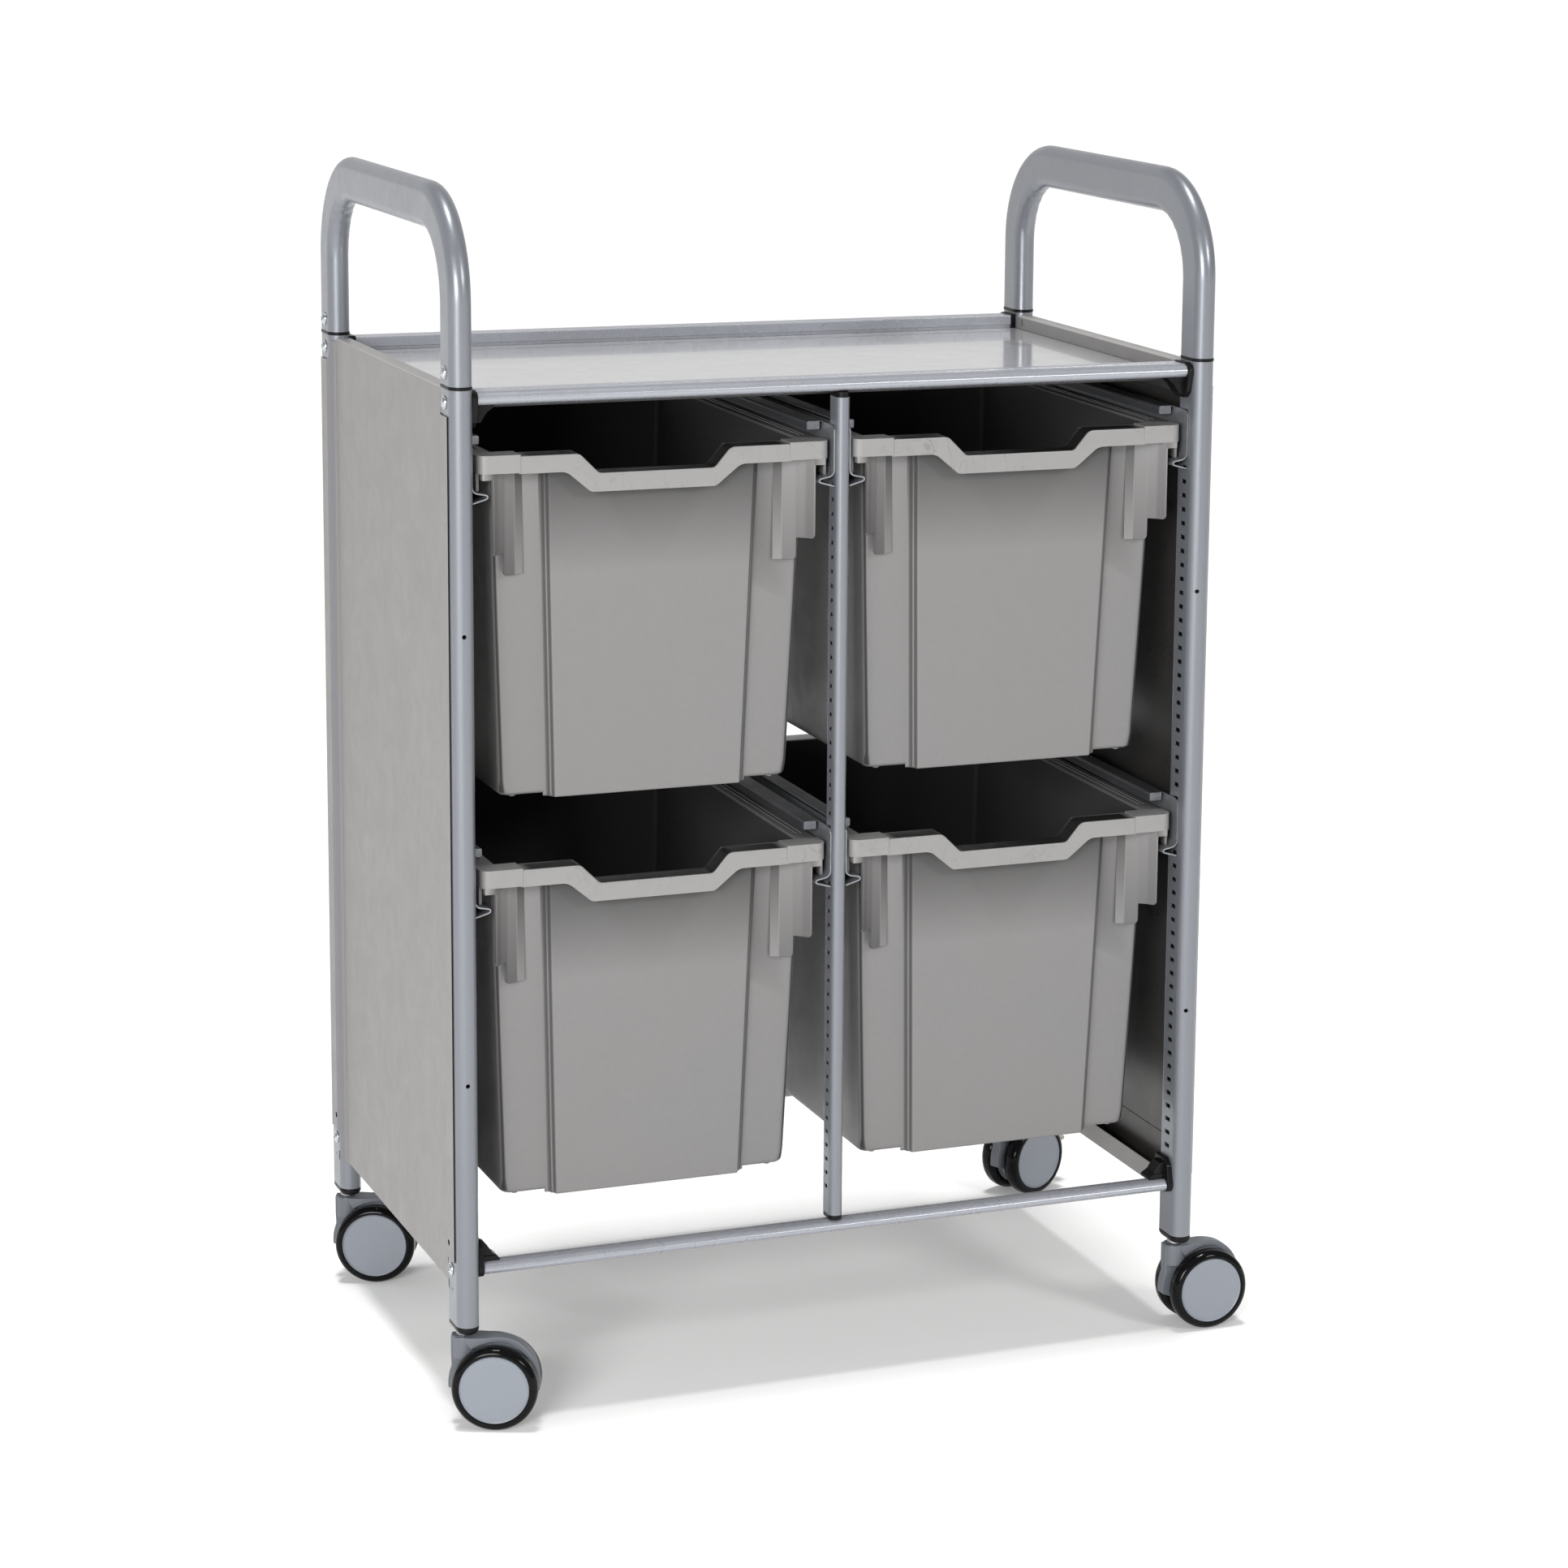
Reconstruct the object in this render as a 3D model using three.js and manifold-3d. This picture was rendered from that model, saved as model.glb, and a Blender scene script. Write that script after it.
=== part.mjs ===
// Classroom tray trolley: a tubular frame on four twin-wheel casters, with four deep trays
// that slide on steel runners under a shallow steel shelf. Millimetres, +Z up, front is -Y.
import * as THREE from 'three';
import { mergeVertices } from 'three/addons/utils/BufferGeometryUtils.js';
import ManifoldModule from 'manifold-3d';

const wasm = await ManifoldModule();
wasm.setup();

// ---- driving dimensions ----
const GAP = 0.3;

const POST_X = 340;
const POST_Y = 198.3;
const TUBE_W = 20;
const TUBE_D = 40;
const TUBE_WALL = 1.5;
const POST_BOTTOM = 91.5;
const POST_TOP = 902.5;
const JOINER_TOP = 905.5;
const HANDLE_TOP_AXIS = 1048;
const HANDLE_BEND = 75;

const RAIL_HALF = 325;
const RAIL_IN = 182;
const RAIL_NOSE = 211;
const TOP_RAIL_Z = 894;
const BOTTOM_RAIL_Z = 143.7;
const RAIL_HALF_H = 6;

const SHEET = 1;
const PANEL_FACE = 345.5;
const PANEL_BOTTOM = 118;
const PANEL_TOP = 900;
const PANEL_FOLD_X = 330.5;
const FLANGE_OUT = 351.3;
const SHELF_Z = 887.7;

const CENTRE_W = 12.6;
const CENTRE_D = 24.6;
const CENTRE_BOTTOM = 150;
const CENTRE_TOP = 883;

const TRAY_X = 167.3;
const TRAY_PITCH = 354.7;
const RIM_TOP = 845.6;
const RIM_HALF = 156;
const RIM_FRONT = -205.4;
const RIM_BACK = 221.6;
const TRAY_HEIGHT = 298.6;
const TRAY_WALL = 2.5;

const RUNNER_T = 1.2;
const RUNNER_TOP = 859;
const RUNNER_END = 205;

const WHEEL_R = 37.5;
const WHEEL_SIDES = 24;
const CASTER_TRAIL = 28;
const CASTER_TOP = 80.5;
const FIN_HALF = 6;
const AXLE_R = 4;
const BORE_CLEAR = 0.03;

// The casters rest turned, so the overall box's centre is not the frame's centre.
const CENTRE_SHIFT = new THREE.Vector3(-31.7, -0.1, 0);

// ---- materials ----
const FINISH = {
  silver: { color: 0xa8adb4, roughness: 0.38, metalness: 0.45 },
  panel: { color: 0xaaa8a4, roughness: 0.5, metalness: 0.3 },
  shelf: { color: 0xb4b6b8, roughness: 0.3, metalness: 0.4 },
  runner: { color: 0x9b9fa4, roughness: 0.35, metalness: 0.8 },
  tray: { color: 0x97958f, roughness: 0.5, metalness: 0.0 },
  black: { color: 0x121214, roughness: 0.45, metalness: 0.0 },
  housing: { color: 0x848c94, roughness: 0.45, metalness: 0.0 },
  tyre: { color: 0x0d0d0e, roughness: 0.25, metalness: 0.0 },
  steel: { color: 0xc4c6c8, roughness: 0.25, metalness: 0.95 },
  pedal: { color: 0xa39f98, roughness: 0.5, metalness: 0.0 },
};

const root = new THREE.Group();

function addNode(name, geometry, finish, parent = root) {
  const mesh = new THREE.Mesh(geometry, new THREE.MeshStandardMaterial(FINISH[finish]));
  mesh.name = name;
  parent.add(mesh);
  return mesh;
}

// ---- solids ----
function toManifold(geometry) {
  const bare = geometry.clone();
  bare.deleteAttribute('normal');
  bare.deleteAttribute('uv');
  const welded = mergeVertices(bare, 1e-4);
  const mesh = new wasm.Mesh({
    numProp: 3,
    vertProperties: new Float32Array(welded.attributes.position.array),
    triVerts: new Uint32Array(welded.index.array),
  });
  return new wasm.Manifold(mesh);
}

function toGeometry(manifold) {
  const mesh = manifold.getMesh();
  const geometry = new THREE.BufferGeometry();
  geometry.setAttribute('position', new THREE.BufferAttribute(mesh.vertProperties, 3));
  geometry.setIndex(new THREE.BufferAttribute(mesh.triVerts, 1));
  const flat = geometry.toNonIndexed();
  flat.computeVertexNormals();
  return flat;
}

function join(...geometries) {
  return toGeometry(geometries.map(toManifold).reduce((a, b) => a.add(b)));
}

function cut(geometry, ...tools) {
  return toGeometry(tools.map(toManifold).reduce((a, b) => a.subtract(b), toManifold(geometry)));
}

function shapeOf(points, hole = null) {
  const shape = new THREE.Shape(points.map(([a, b]) => new THREE.Vector2(a, b)));
  if (hole) {
    shape.holes.push(new THREE.Path(hole.map(([a, b]) => new THREE.Vector2(a, b))));
  }
  return shape;
}

// Extrusions along each axis: the profile is (x, y), (y, z) or (x, z).
function prismZ(points, z0, z1, hole = null) {
  const geometry = new THREE.ExtrudeGeometry(shapeOf(points, hole), {
    depth: z1 - z0,
    bevelEnabled: false,
  });
  return geometry.translate(0, 0, z0);
}

function prismX(points, x0, x1) {
  const basis = new THREE.Matrix4().makeBasis(
    new THREE.Vector3(0, 1, 0), new THREE.Vector3(0, 0, 1), new THREE.Vector3(1, 0, 0));
  return prismZ(points, x0, x1).applyMatrix4(basis);
}

function prismY(points, y0, y1) {
  const basis = new THREE.Matrix4().makeBasis(
    new THREE.Vector3(1, 0, 0), new THREE.Vector3(0, 0, 1), new THREE.Vector3(0, -1, 0));
  return prismZ(points, -y1, -y0).applyMatrix4(basis);
}

function block(x0, x1, y0, y1, z0, z1) {
  const geometry = new THREE.BoxGeometry(x1 - x0, y1 - y0, z1 - z0);
  return geometry.translate((x0 + x1) / 2, (y0 + y1) / 2, (z0 + z1) / 2);
}

// Flat-sided oval: width w along x, depth d along y, ends rounded with n steps.
function oval(w, d, n) {
  const r = w / 2;
  const c = d / 2 - r;
  const points = [];
  for (let i = 0; i <= n; i++) {
    const a = Math.PI * i / n;
    points.push([r * Math.cos(a), c + r * Math.sin(a)]);
  }
  for (let i = 0; i <= n; i++) {
    const a = Math.PI + Math.PI * i / n;
    points.push([r * Math.cos(a), -c + r * Math.sin(a)]);
  }
  return points;
}

// A bent strip of sheet: the closed outline of an open path of thickness t.
function strip(path, t) {
  const sides = [[], []];
  path.forEach((p, i) => {
    const before = path[Math.max(i - 1, 0)];
    const after = path[Math.min(i + 1, path.length - 1)];
    const inDir = new THREE.Vector2(p[0] - before[0], p[1] - before[1]).normalize();
    const outDir = new THREE.Vector2(after[0] - p[0], after[1] - p[1]).normalize();
    const atEnd = i === 0 || i === path.length - 1;
    const endDir = i === 0 ? outDir : inDir;
    const dir = atEnd ? endDir : inDir.clone().add(outDir).normalize();
    const lean = atEnd ? 1 : dir.dot(outDir);
    const reach = t / 2 / Math.max(lean, 0.35);
    sides[0].push([p[0] - dir.y * reach, p[1] + dir.x * reach]);
    sides[1].push([p[0] + dir.y * reach, p[1] - dir.x * reach]);
  });
  return [...sides[0], ...sides[1].reverse()];
}

function mirrorX(points) {
  return points.map(([a, b]) => [-a, b]).reverse();
}

function cylinderZ(r, z0, z1, n = 24) {
  return new THREE.CylinderGeometry(r, r, z1 - z0, n)
    .rotateX(Math.PI / 2)
    .translate(0, 0, (z0 + z1) / 2);
}

function cylinderY(r, y0, y1, x, z, n = 24) {
  return new THREE.CylinderGeometry(r, r, y1 - y0, n).translate(x, (y0 + y1) / 2, z);
}

function boreRadius(r, n) {
  return (r + BORE_CLEAR) / Math.cos(Math.PI / n);
}

// ---- frame ----
const CORNERS = {
  front_left: [-1, -1],
  front_right: [1, -1],
  back_left: [-1, 1],
  back_right: [1, 1],
};

const tubeOuter = oval(TUBE_W, TUBE_D, 7);
const tubeBore = oval(TUBE_W - 2 * TUBE_WALL, TUBE_D - 2 * TUBE_WALL, 4);
const spigot = oval(TUBE_W - 2 * TUBE_WALL - 1, TUBE_D - 2 * TUBE_WALL - 1, 4);

for (const [corner, [sx, sy]] of Object.entries(CORNERS)) {
  const tube = prismZ(tubeOuter, POST_BOTTOM, POST_TOP, tubeBore);
  const post = addNode(`post_${corner}`, tube, 'silver');
  post.position.set(sx * POST_X, sy * POST_Y, 0);
}

// The handle's centre line: two legs, two bends and a level grip, given by its stations.
class HandlePath extends THREE.Curve {
  constructor(stations) {
    super();
    this.stations = stations;
  }

  getPointAt(u, target = new THREE.Vector3()) {
    const i = Math.round(u * (this.stations.length - 1));
    return target.copy(this.stations[i].point);
  }

  getTangentAt(u, target = new THREE.Vector3()) {
    const i = Math.round(u * (this.stations.length - 1));
    return target.copy(this.stations[i].tangent);
  }
}

function handleStations(bendSteps) {
  const stations = [];
  const legBase = JOINER_TOP + GAP;
  const bendZ = HANDLE_TOP_AXIS - HANDLE_BEND;
  const bendY = POST_Y - HANDLE_BEND;
  const add = (y, z, ty, tz) => stations.push({
    point: new THREE.Vector3(0, y, z),
    tangent: new THREE.Vector3(0, ty, tz),
  });
  add(-POST_Y, legBase, 0, 1);
  for (const sy of [-1, 1]) {
    for (let i = 0; i <= bendSteps; i++) {
      const a = Math.PI / 2 * (sy < 0 ? i : bendSteps - i) / bendSteps;
      const y = sy * (bendY + HANDLE_BEND * Math.cos(a));
      add(y, bendZ + HANDLE_BEND * Math.sin(a), Math.sin(a), -sy * Math.cos(a));
    }
  }
  add(POST_Y, legBase, 0, -1);
  return stations;
}

const handlePath = new HandlePath(handleStations(7));
const turned = (points) => points.map(([a, b]) => [b, a]).reverse();
const handleSection = shapeOf(
  turned(oval(TUBE_W, TUBE_D, 6)),
  turned(oval(TUBE_W - 2 * TUBE_WALL, TUBE_D - 2 * TUBE_WALL, 4)),
);

for (const [side, sx] of [['left', -1], ['right', 1]]) {
  const geometry = new THREE.ExtrudeGeometry(handleSection, {
    steps: handlePath.stations.length - 1,
    extrudePath: handlePath,
    bevelEnabled: false,
  });
  addNode(`handle_${side}`, geometry, 'silver').position.set(sx * POST_X, 0, 0);
}

function addAtCorners(prefix, geometry, finish) {
  for (const [corner, [sx, sy]] of Object.entries(CORNERS)) {
    const node = addNode(`${prefix}_${corner}`, geometry.clone(), finish);
    node.position.set(sx * POST_X, sy * POST_Y, 0);
  }
}

// Black collars that join each handle leg to its post, with a spigot inside both tubes.
const joiner = join(
  prismZ(oval(TUBE_W + 0.8, TUBE_D + 0.8, 6), POST_TOP + GAP, JOINER_TOP),
  prismZ(spigot, POST_TOP - 26, JOINER_TOP + 26),
);
addAtCorners('handle_joiner', joiner, 'black');

// Feet that close the post bottoms, each with the fixed stem its caster turns on.
const stemProfile = [[0, 60], [AXLE_R, 60], [AXLE_R, 80.8], [5.5, 80.8], [5.5, 90], [0, 90]];
const stem = new THREE.LatheGeometry(
  stemProfile.map(([r, z]) => new THREE.Vector2(r, z)), 16).rotateX(Math.PI / 2);
const foot = join(
  prismZ(oval(TUBE_W, TUBE_D, 6), POST_BOTTOM - 5.3, POST_BOTTOM - GAP),
  prismZ(spigot, POST_BOTTOM - 2, POST_BOTTOM + 30),
  stem,
);
addAtCorners('post_foot', foot, 'black');

// ---- side panels: a folded sheet between the posts, its flanges on the posts' outer flats ----
const panelFold = strip([
  [PANEL_FOLD_X + 0.5, SHELF_Z + 0.8],
  [PANEL_FOLD_X + 0.5, PANEL_TOP - 0.5],
  [PANEL_FACE - 0.5, PANEL_TOP - 0.5],
  [PANEL_FACE - 0.5, PANEL_BOTTOM + 0.5],
  [PANEL_FOLD_X + 0.5, PANEL_BOTTOM + 0.5],
  [PANEL_FOLD_X + 0.5, PANEL_BOTTOM + 14],
], SHEET);
const panelFlange = strip([
  [PANEL_FACE - 0.5, 170],
  [PANEL_FACE - 0.5, 177],
  [FLANGE_OUT - 0.5, 177],
  [FLANGE_OUT - 0.5, 209],
], SHEET);
const flangeBack = prismZ(panelFlange, PANEL_BOTTOM + 2, PANEL_TOP - 2);
const flangeFront = flangeBack.clone().rotateZ(Math.PI).scale(-1, 1, 1);

function flipFaces(geometry) {
  const position = geometry.attributes.position;
  for (let i = 0; i < position.count; i += 3) {
    const a = new THREE.Vector3().fromBufferAttribute(position, i);
    const b = new THREE.Vector3().fromBufferAttribute(position, i + 1);
    position.setXYZ(i, b.x, b.y, b.z);
    position.setXYZ(i + 1, a.x, a.y, a.z);
  }
  geometry.computeVertexNormals();
  return geometry;
}

const panelSheet = join(prismY(panelFold, -176.5, 176.5), flangeBack, flipFaces(flangeFront));
const notches = [];
for (const y of [[183, 215], [-215, -183]]) {
  notches.push(block(346, 355, y[0], y[1], PANEL_TOP - 20, PANEL_TOP + 5));
  notches.push(block(346, 355, y[0], y[1], PANEL_BOTTOM - 5, 148));
}
const panelRight = cut(panelSheet, ...notches);
const panelLeft = flipFaces(panelRight.clone().scale(-1, 1, 1));
addNode('side_panel_right', panelRight, 'panel');
addNode('side_panel_left', panelLeft, 'panel');

// ---- shelf pan and rails ----
const shelfEdge = POST_X - TUBE_W / 2 - 0.7;
const shelfProfile = strip([
  [-shelfEdge, SHELF_Z - 16],
  [-shelfEdge, SHELF_Z - 0.5],
  [shelfEdge, SHELF_Z - 0.5],
  [shelfEdge, SHELF_Z - 16],
], SHEET);
addNode('top_shelf', prismY(shelfProfile, -RAIL_IN + GAP, RAIL_IN - GAP), 'shelf');

// Rail section as (y, z), drawn for the front and centred on its own height.
const railSection = [
  [-RAIL_IN, -RAIL_HALF_H], [-RAIL_IN, RAIL_HALF_H - 1], [-RAIL_IN - 1, RAIL_HALF_H],
  [-204, RAIL_HALF_H], [-208.5, 4.3], [-RAIL_NOSE, 0], [-208.5, -4.3], [-204, -RAIL_HALF_H],
];

// Bracket section: wraps the rail's nose and runs on past one side of the rail.
const bracketSection = [
  [-RAIL_IN - 1, -25], [-196, -25], [-204, -20], [-212.4, -4], [-212.8, 1], [-209.5, 5.6],
  [-204, 7.2], [-RAIL_IN - 1, 7.2],
];
const gussetSection = [
  [RAIL_HALF + GAP, -6.4], [313, -6.4], [318, -21],
  [RAIL_HALF + GAP + 1, -24], [RAIL_HALF + GAP + 1, -6.4],
];

function bracketFor(sx, flip) {
  const outer = prismX(bracketSection, RAIL_HALF + GAP, shelfEdge + 0.3);
  const gusset = prismY(gussetSection, -204, -194);
  const bracket = join(outer, gusset);
  const placed = sx < 0 ? flipFaces(bracket.scale(-1, 1, 1)) : bracket;
  return flip ? flipFaces(placed.scale(1, 1, -1)) : placed;
}

for (const [level, z, flip] of [['top', TOP_RAIL_Z, false], ['bottom', BOTTOM_RAIL_Z, true]]) {
  for (const [face, turn] of [['front', 0], ['back', Math.PI]]) {
    const bar = prismX(railSection, -RAIL_HALF, RAIL_HALF);
    const rail = addNode(`${level}_rail_${face}`, bar, 'silver');
    rail.position.z = z;
    rail.rotation.z = turn;
    for (const [side, sx] of [['left', -1], ['right', 1]]) {
      const local = turn ? -sx : sx;
      const bracket = addNode(`${level}_bracket_${face}_${side}`, bracketFor(local, flip), 'black');
      bracket.position.z = z;
      bracket.rotation.z = turn;
    }
  }
}

// ---- centre posts and their plugs ----
const centreOuter = oval(CENTRE_W, CENTRE_D, 5);
const centreBore = oval(CENTRE_W - 2.6, CENTRE_D - 2.6, 3);
const centrePlug = oval(CENTRE_W - 3.6, CENTRE_D - 3.6, 3);
for (const [face, sy] of [['front', -1], ['back', 1]]) {
  const tube = prismZ(centreOuter, CENTRE_BOTTOM, CENTRE_TOP, centreBore);
  addNode(`centre_post_${face}`, tube, 'silver').position.y = sy * POST_Y;
  const plug = prismZ(centrePlug, CENTRE_TOP - 14, TOP_RAIL_Z - RAIL_HALF_H - GAP);
  addNode(`centre_plug_${face}`, plug, 'black').position.y = sy * POST_Y;
}

// ---- runners: web on the posts' flats, a V rail under the tray rim and a lip above it ----
function runnerGeometry() {
  const webX = -GAP - RUNNER_T / 2;
  const web = strip([
    [webX, RUNNER_TOP - 0.6], [webX, 815.2], [webX - 13.4, 811.2], [webX, 805.6],
  ], RUNNER_T);
  const lip = strip([
    [webX, RUNNER_TOP - 0.6], [webX - 14, RUNNER_TOP - 0.6], [webX - 14, RUNNER_TOP - 8],
  ], RUNNER_T);
  return join(prismY(web, -RUNNER_END, RUNNER_END), prismY(lip, -175, 175));
}

const runnerRight = runnerGeometry();
const runnerLeft = flipFaces(runnerRight.clone().scale(-1, 1, 1));
const runnerSpots = [
  ['outer_left', -POST_X + TUBE_W / 2, runnerLeft],
  ['inner_left', -CENTRE_W / 2, runnerRight],
  ['inner_right', CENTRE_W / 2, runnerLeft],
  ['outer_right', POST_X - TUBE_W / 2, runnerRight],
];
for (const [level, drop] of [['upper', 0], ['lower', TRAY_PITCH]]) {
  for (const [spot, x, geometry] of runnerSpots) {
    const runner = addNode(`runner_${level}_${spot}`, geometry.clone(), 'runner');
    runner.position.set(x, 0, -drop);
  }
}

// ---- trays ----
function roundedRect(halfX, y0, y1, r) {
  const points = [];
  const centres = [
    [halfX - r, y1 - r, 0], [-halfX + r, y1 - r, 1],
    [-halfX + r, y0 + r, 2], [halfX - r, y0 + r, 3],
  ];
  for (const [cx, cy, quarter] of centres) {
    for (let i = 0; i <= 2; i++) {
      const a = Math.PI / 2 * (quarter + i / 2);
      points.push([cx + r * Math.cos(a), cy + r * Math.sin(a)]);
    }
  }
  return points;
}

// A closed skin through rings of equal point count, from the first ring's cap to the last's.
function loft(rings) {
  const n = rings[0].points.length;
  const position = [];
  for (const ring of rings) {
    for (const [x, y] of ring.points) {
      position.push(x, y, ring.z);
    }
  }
  const index = [];
  for (let k = 0; k + 1 < rings.length; k++) {
    for (let i = 0; i < n; i++) {
      const j = (i + 1) % n;
      index.push(k * n + i, k * n + j, (k + 1) * n + j);
      index.push(k * n + i, (k + 1) * n + j, (k + 1) * n + i);
    }
  }
  for (let i = 1; i + 1 < n; i++) {
    index.push(0, i + 1, i);
    const top = (rings.length - 1) * n;
    index.push(top, top + i, top + i + 1);
  }
  const geometry = new THREE.BufferGeometry();
  geometry.setAttribute('position', new THREE.Float32BufferAttribute(position, 3));
  geometry.setIndex(index);
  return geometry;
}

function trayGeometry() {
  const floorZ = RIM_TOP - TRAY_HEIGHT;
  const lidZ = RIM_TOP - TRAY_WALL;
  const skirtZ = 814.8;
  const skirtOuter = roundedRect(RIM_HALF, RIM_FRONT, RIM_BACK, 10);
  const skirtInner = roundedRect(
    RIM_HALF - TRAY_WALL, RIM_FRONT + TRAY_WALL, RIM_BACK - TRAY_WALL, 8);
  const bin = loft([
    { z: floorZ, points: roundedRect(130.4, -175, 191, 14) },
    { z: lidZ, points: roundedRect(141, -186, 202, 12) },
    { z: lidZ, points: skirtInner },
    { z: skirtZ, points: skirtInner },
    { z: skirtZ, points: skirtOuter },
    { z: RIM_TOP, points: skirtOuter },
    { z: RIM_TOP, points: roundedRect(138.5, -183.5, 199.5, 10) },
    { z: floorZ + TRAY_WALL, points: roundedRect(128, -172.5, 188.5, 12) },
  ]);
  // The front skirt is shallower than the side skirts, and dips round the hand notch.
  const skirtTrim = block(-149, 149, RIM_FRONT - 2, RIM_FRONT + TRAY_WALL + 2, 800, 830);
  const notchTop = [
    [-68.2, RIM_TOP + 5], [-68.2, RIM_TOP - 2.2], [-50.8, 827.3],
    [51.8, 827.3], [66.3, RIM_TOP - 2.2], [66.3, RIM_TOP + 5],
  ];
  const notch = prismY(notchTop, RIM_FRONT - 5, -170);
  const dipBand = [
    [-80, 843], [-68.2, 843], [-50.8, 827.3], [51.8, 827.3], [66.3, 843], [80, 843],
    [80, 829], [75, 827.5], [52, 811], [-57, 811], [-74.8, 827.5], [-80, 829],
  ];
  const dipHollow = [
    [-74, 826], [-72, 839], [-50, 824.5], [51, 824.5], [71, 839], [73, 826], [50, 805], [-55, 805],
  ];
  const dip = cut(prismY(dipBand, RIM_FRONT, -184.5), prismY(dipHollow, RIM_FRONT + TRAY_WALL, -187));
  const panelFront = loft([
    { z: floorZ, points: [[83, -181], [83, -174], [-83, -174], [-83, -181]] },
    { z: 812, points: [[91, -190], [91, -183.8], [-91, -183.8], [-91, -190]] },
  ]);
  const parts = [dip, panelFront];
  for (const sx of [-1, 1]) {
    // Stepped webs from the front wall forward and outward to the rim's corners.
    const inner = strip([[sx * 114, -183.6], [sx * 122, -186.2], [sx * 130.5, -191]], TRAY_WALL);
    const outer = strip([[sx * 129.5, -190.4], [sx * 138, -195.5], [sx * 143.2, -202]], TRAY_WALL);
    const wind = (points) => (sx < 0 ? points : [...points].reverse());
    parts.push(prismZ(wind(inner), 740, 844), prismZ(wind(outer), 760, 844));
  }
  const trimmed = cut(bin, skirtTrim, notch);
  const hollow = loft([
    { z: floorZ + TRAY_WALL, points: roundedRect(128, -172.5, 188.5, 12) },
    { z: RIM_TOP + 0.01, points: roundedRect(138.5, -183.5, 199.5, 10) },
  ]);
  return cut(join(trimmed, ...parts), hollow);
}

const trayShape = trayGeometry();
for (const [level, drop] of [['upper', 0], ['lower', TRAY_PITCH]]) {
  for (const [side, sx] of [['left', -1], ['right', 1]]) {
    const tray = addNode(`tray_${level}_${side}`, trayShape.clone(), 'tray');
    tray.position.set(sx * TRAY_X, 0, -drop);
  }
}

// ---- casters ----
// Built with the swivel axis on z, trailing towards +x; the axle pin is fast in the housing.
function arc(r, from, to, n) {
  const points = [];
  for (let i = 0; i <= n; i++) {
    const a = THREE.MathUtils.degToRad(from + (to - from) * i / n);
    points.push([CASTER_TRAIL + r * Math.cos(a), WHEEL_R + r * Math.sin(a)]);
  }
  return points;
}

function housingGeometry() {
  const fin = prismY([
    ...arc(42, -4, 92, 6), [11, CASTER_TOP], [-11, CASTER_TOP], [-11, 66],
    ...arc(42, 152, 184, 2), ...arc(30, 196, 344, 5),
  ], -FIN_HALF, FIN_HALF);
  const boss = cylinderZ(11, 72, CASTER_TOP, 16);
  const stemBore = cylinderZ(boreRadius(AXLE_R, 16), 59.7, CASTER_TOP + 5, 16);
  const axle = cylinderY(AXLE_R, -19.8, 19.8, CASTER_TRAIL, WHEEL_R, WHEEL_SIDES);
  return cut(join(fin, boss, axle), stemBore);
}

const wheelBore = boreRadius(AXLE_R, WHEEL_SIDES);
const wheelProfile = [
  [0, 20.2], [wheelBore, 20.2], [wheelBore, 6.6], [34, 6.6], [WHEEL_R, 11], [WHEEL_R, 20.5],
  [35, 24.4], [0, 24.4],
];
const wheel = new THREE.LatheGeometry(
  wheelProfile.map(([r, y]) => new THREE.Vector2(r, y)), WHEEL_SIDES);

const PEDAL_X = 73.6;
const PEDAL_Z = 44.5;

function pedalGeometry() {
  const points = [];
  for (let i = 0; i <= 6; i++) {
    const a = Math.PI / 2 + Math.PI * i / 6;
    points.push([PEDAL_X + 3 * Math.cos(a), PEDAL_Z + 3 * Math.sin(a)]);
  }
  points.push([PEDAL_X + 9, PEDAL_Z - 1.2]);
  points.push([PEDAL_X + 10, PEDAL_Z + 0.4]);
  points.push([PEDAL_X + 8, PEDAL_Z + 2.6]);
  return prismY(points, -8, 8);
}

const REST_YAW = { front_left: -22.9, front_right: 0, back_left: -22.9, back_right: 23.1 };

for (const [corner, [sx, sy]] of Object.entries(CORNERS)) {
  const caster = new THREE.Group();
  caster.position.set(sx * POST_X, sy * POST_Y, 0);
  caster.rotation.z = THREE.MathUtils.degToRad(REST_YAW[corner]);
  root.add(caster);
  addNode(`caster_${corner}_housing`, housingGeometry(), 'housing', caster);
  const wheelA = addNode(`caster_${corner}_wheel_a`, wheel.clone(), 'tyre', caster);
  wheelA.position.set(CASTER_TRAIL, 0, WHEEL_R);
  wheelA.rotation.x = Math.PI;
  const wheelB = addNode(`caster_${corner}_wheel_b`, wheel.clone(), 'tyre', caster);
  wheelB.position.set(CASTER_TRAIL, 0, WHEEL_R);
  if (sy > 0) {
    addNode(`caster_${corner}_pedal`, pedalGeometry(), 'pedal', caster);
  }
}

root.position.copy(CENTRE_SHIFT);

export default root;
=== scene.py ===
"""Looks of the classroom tray trolley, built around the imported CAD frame. Lengths in mm unless said."""
import math

import bmesh
import bpy
from mathutils import Matrix, Vector


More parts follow.
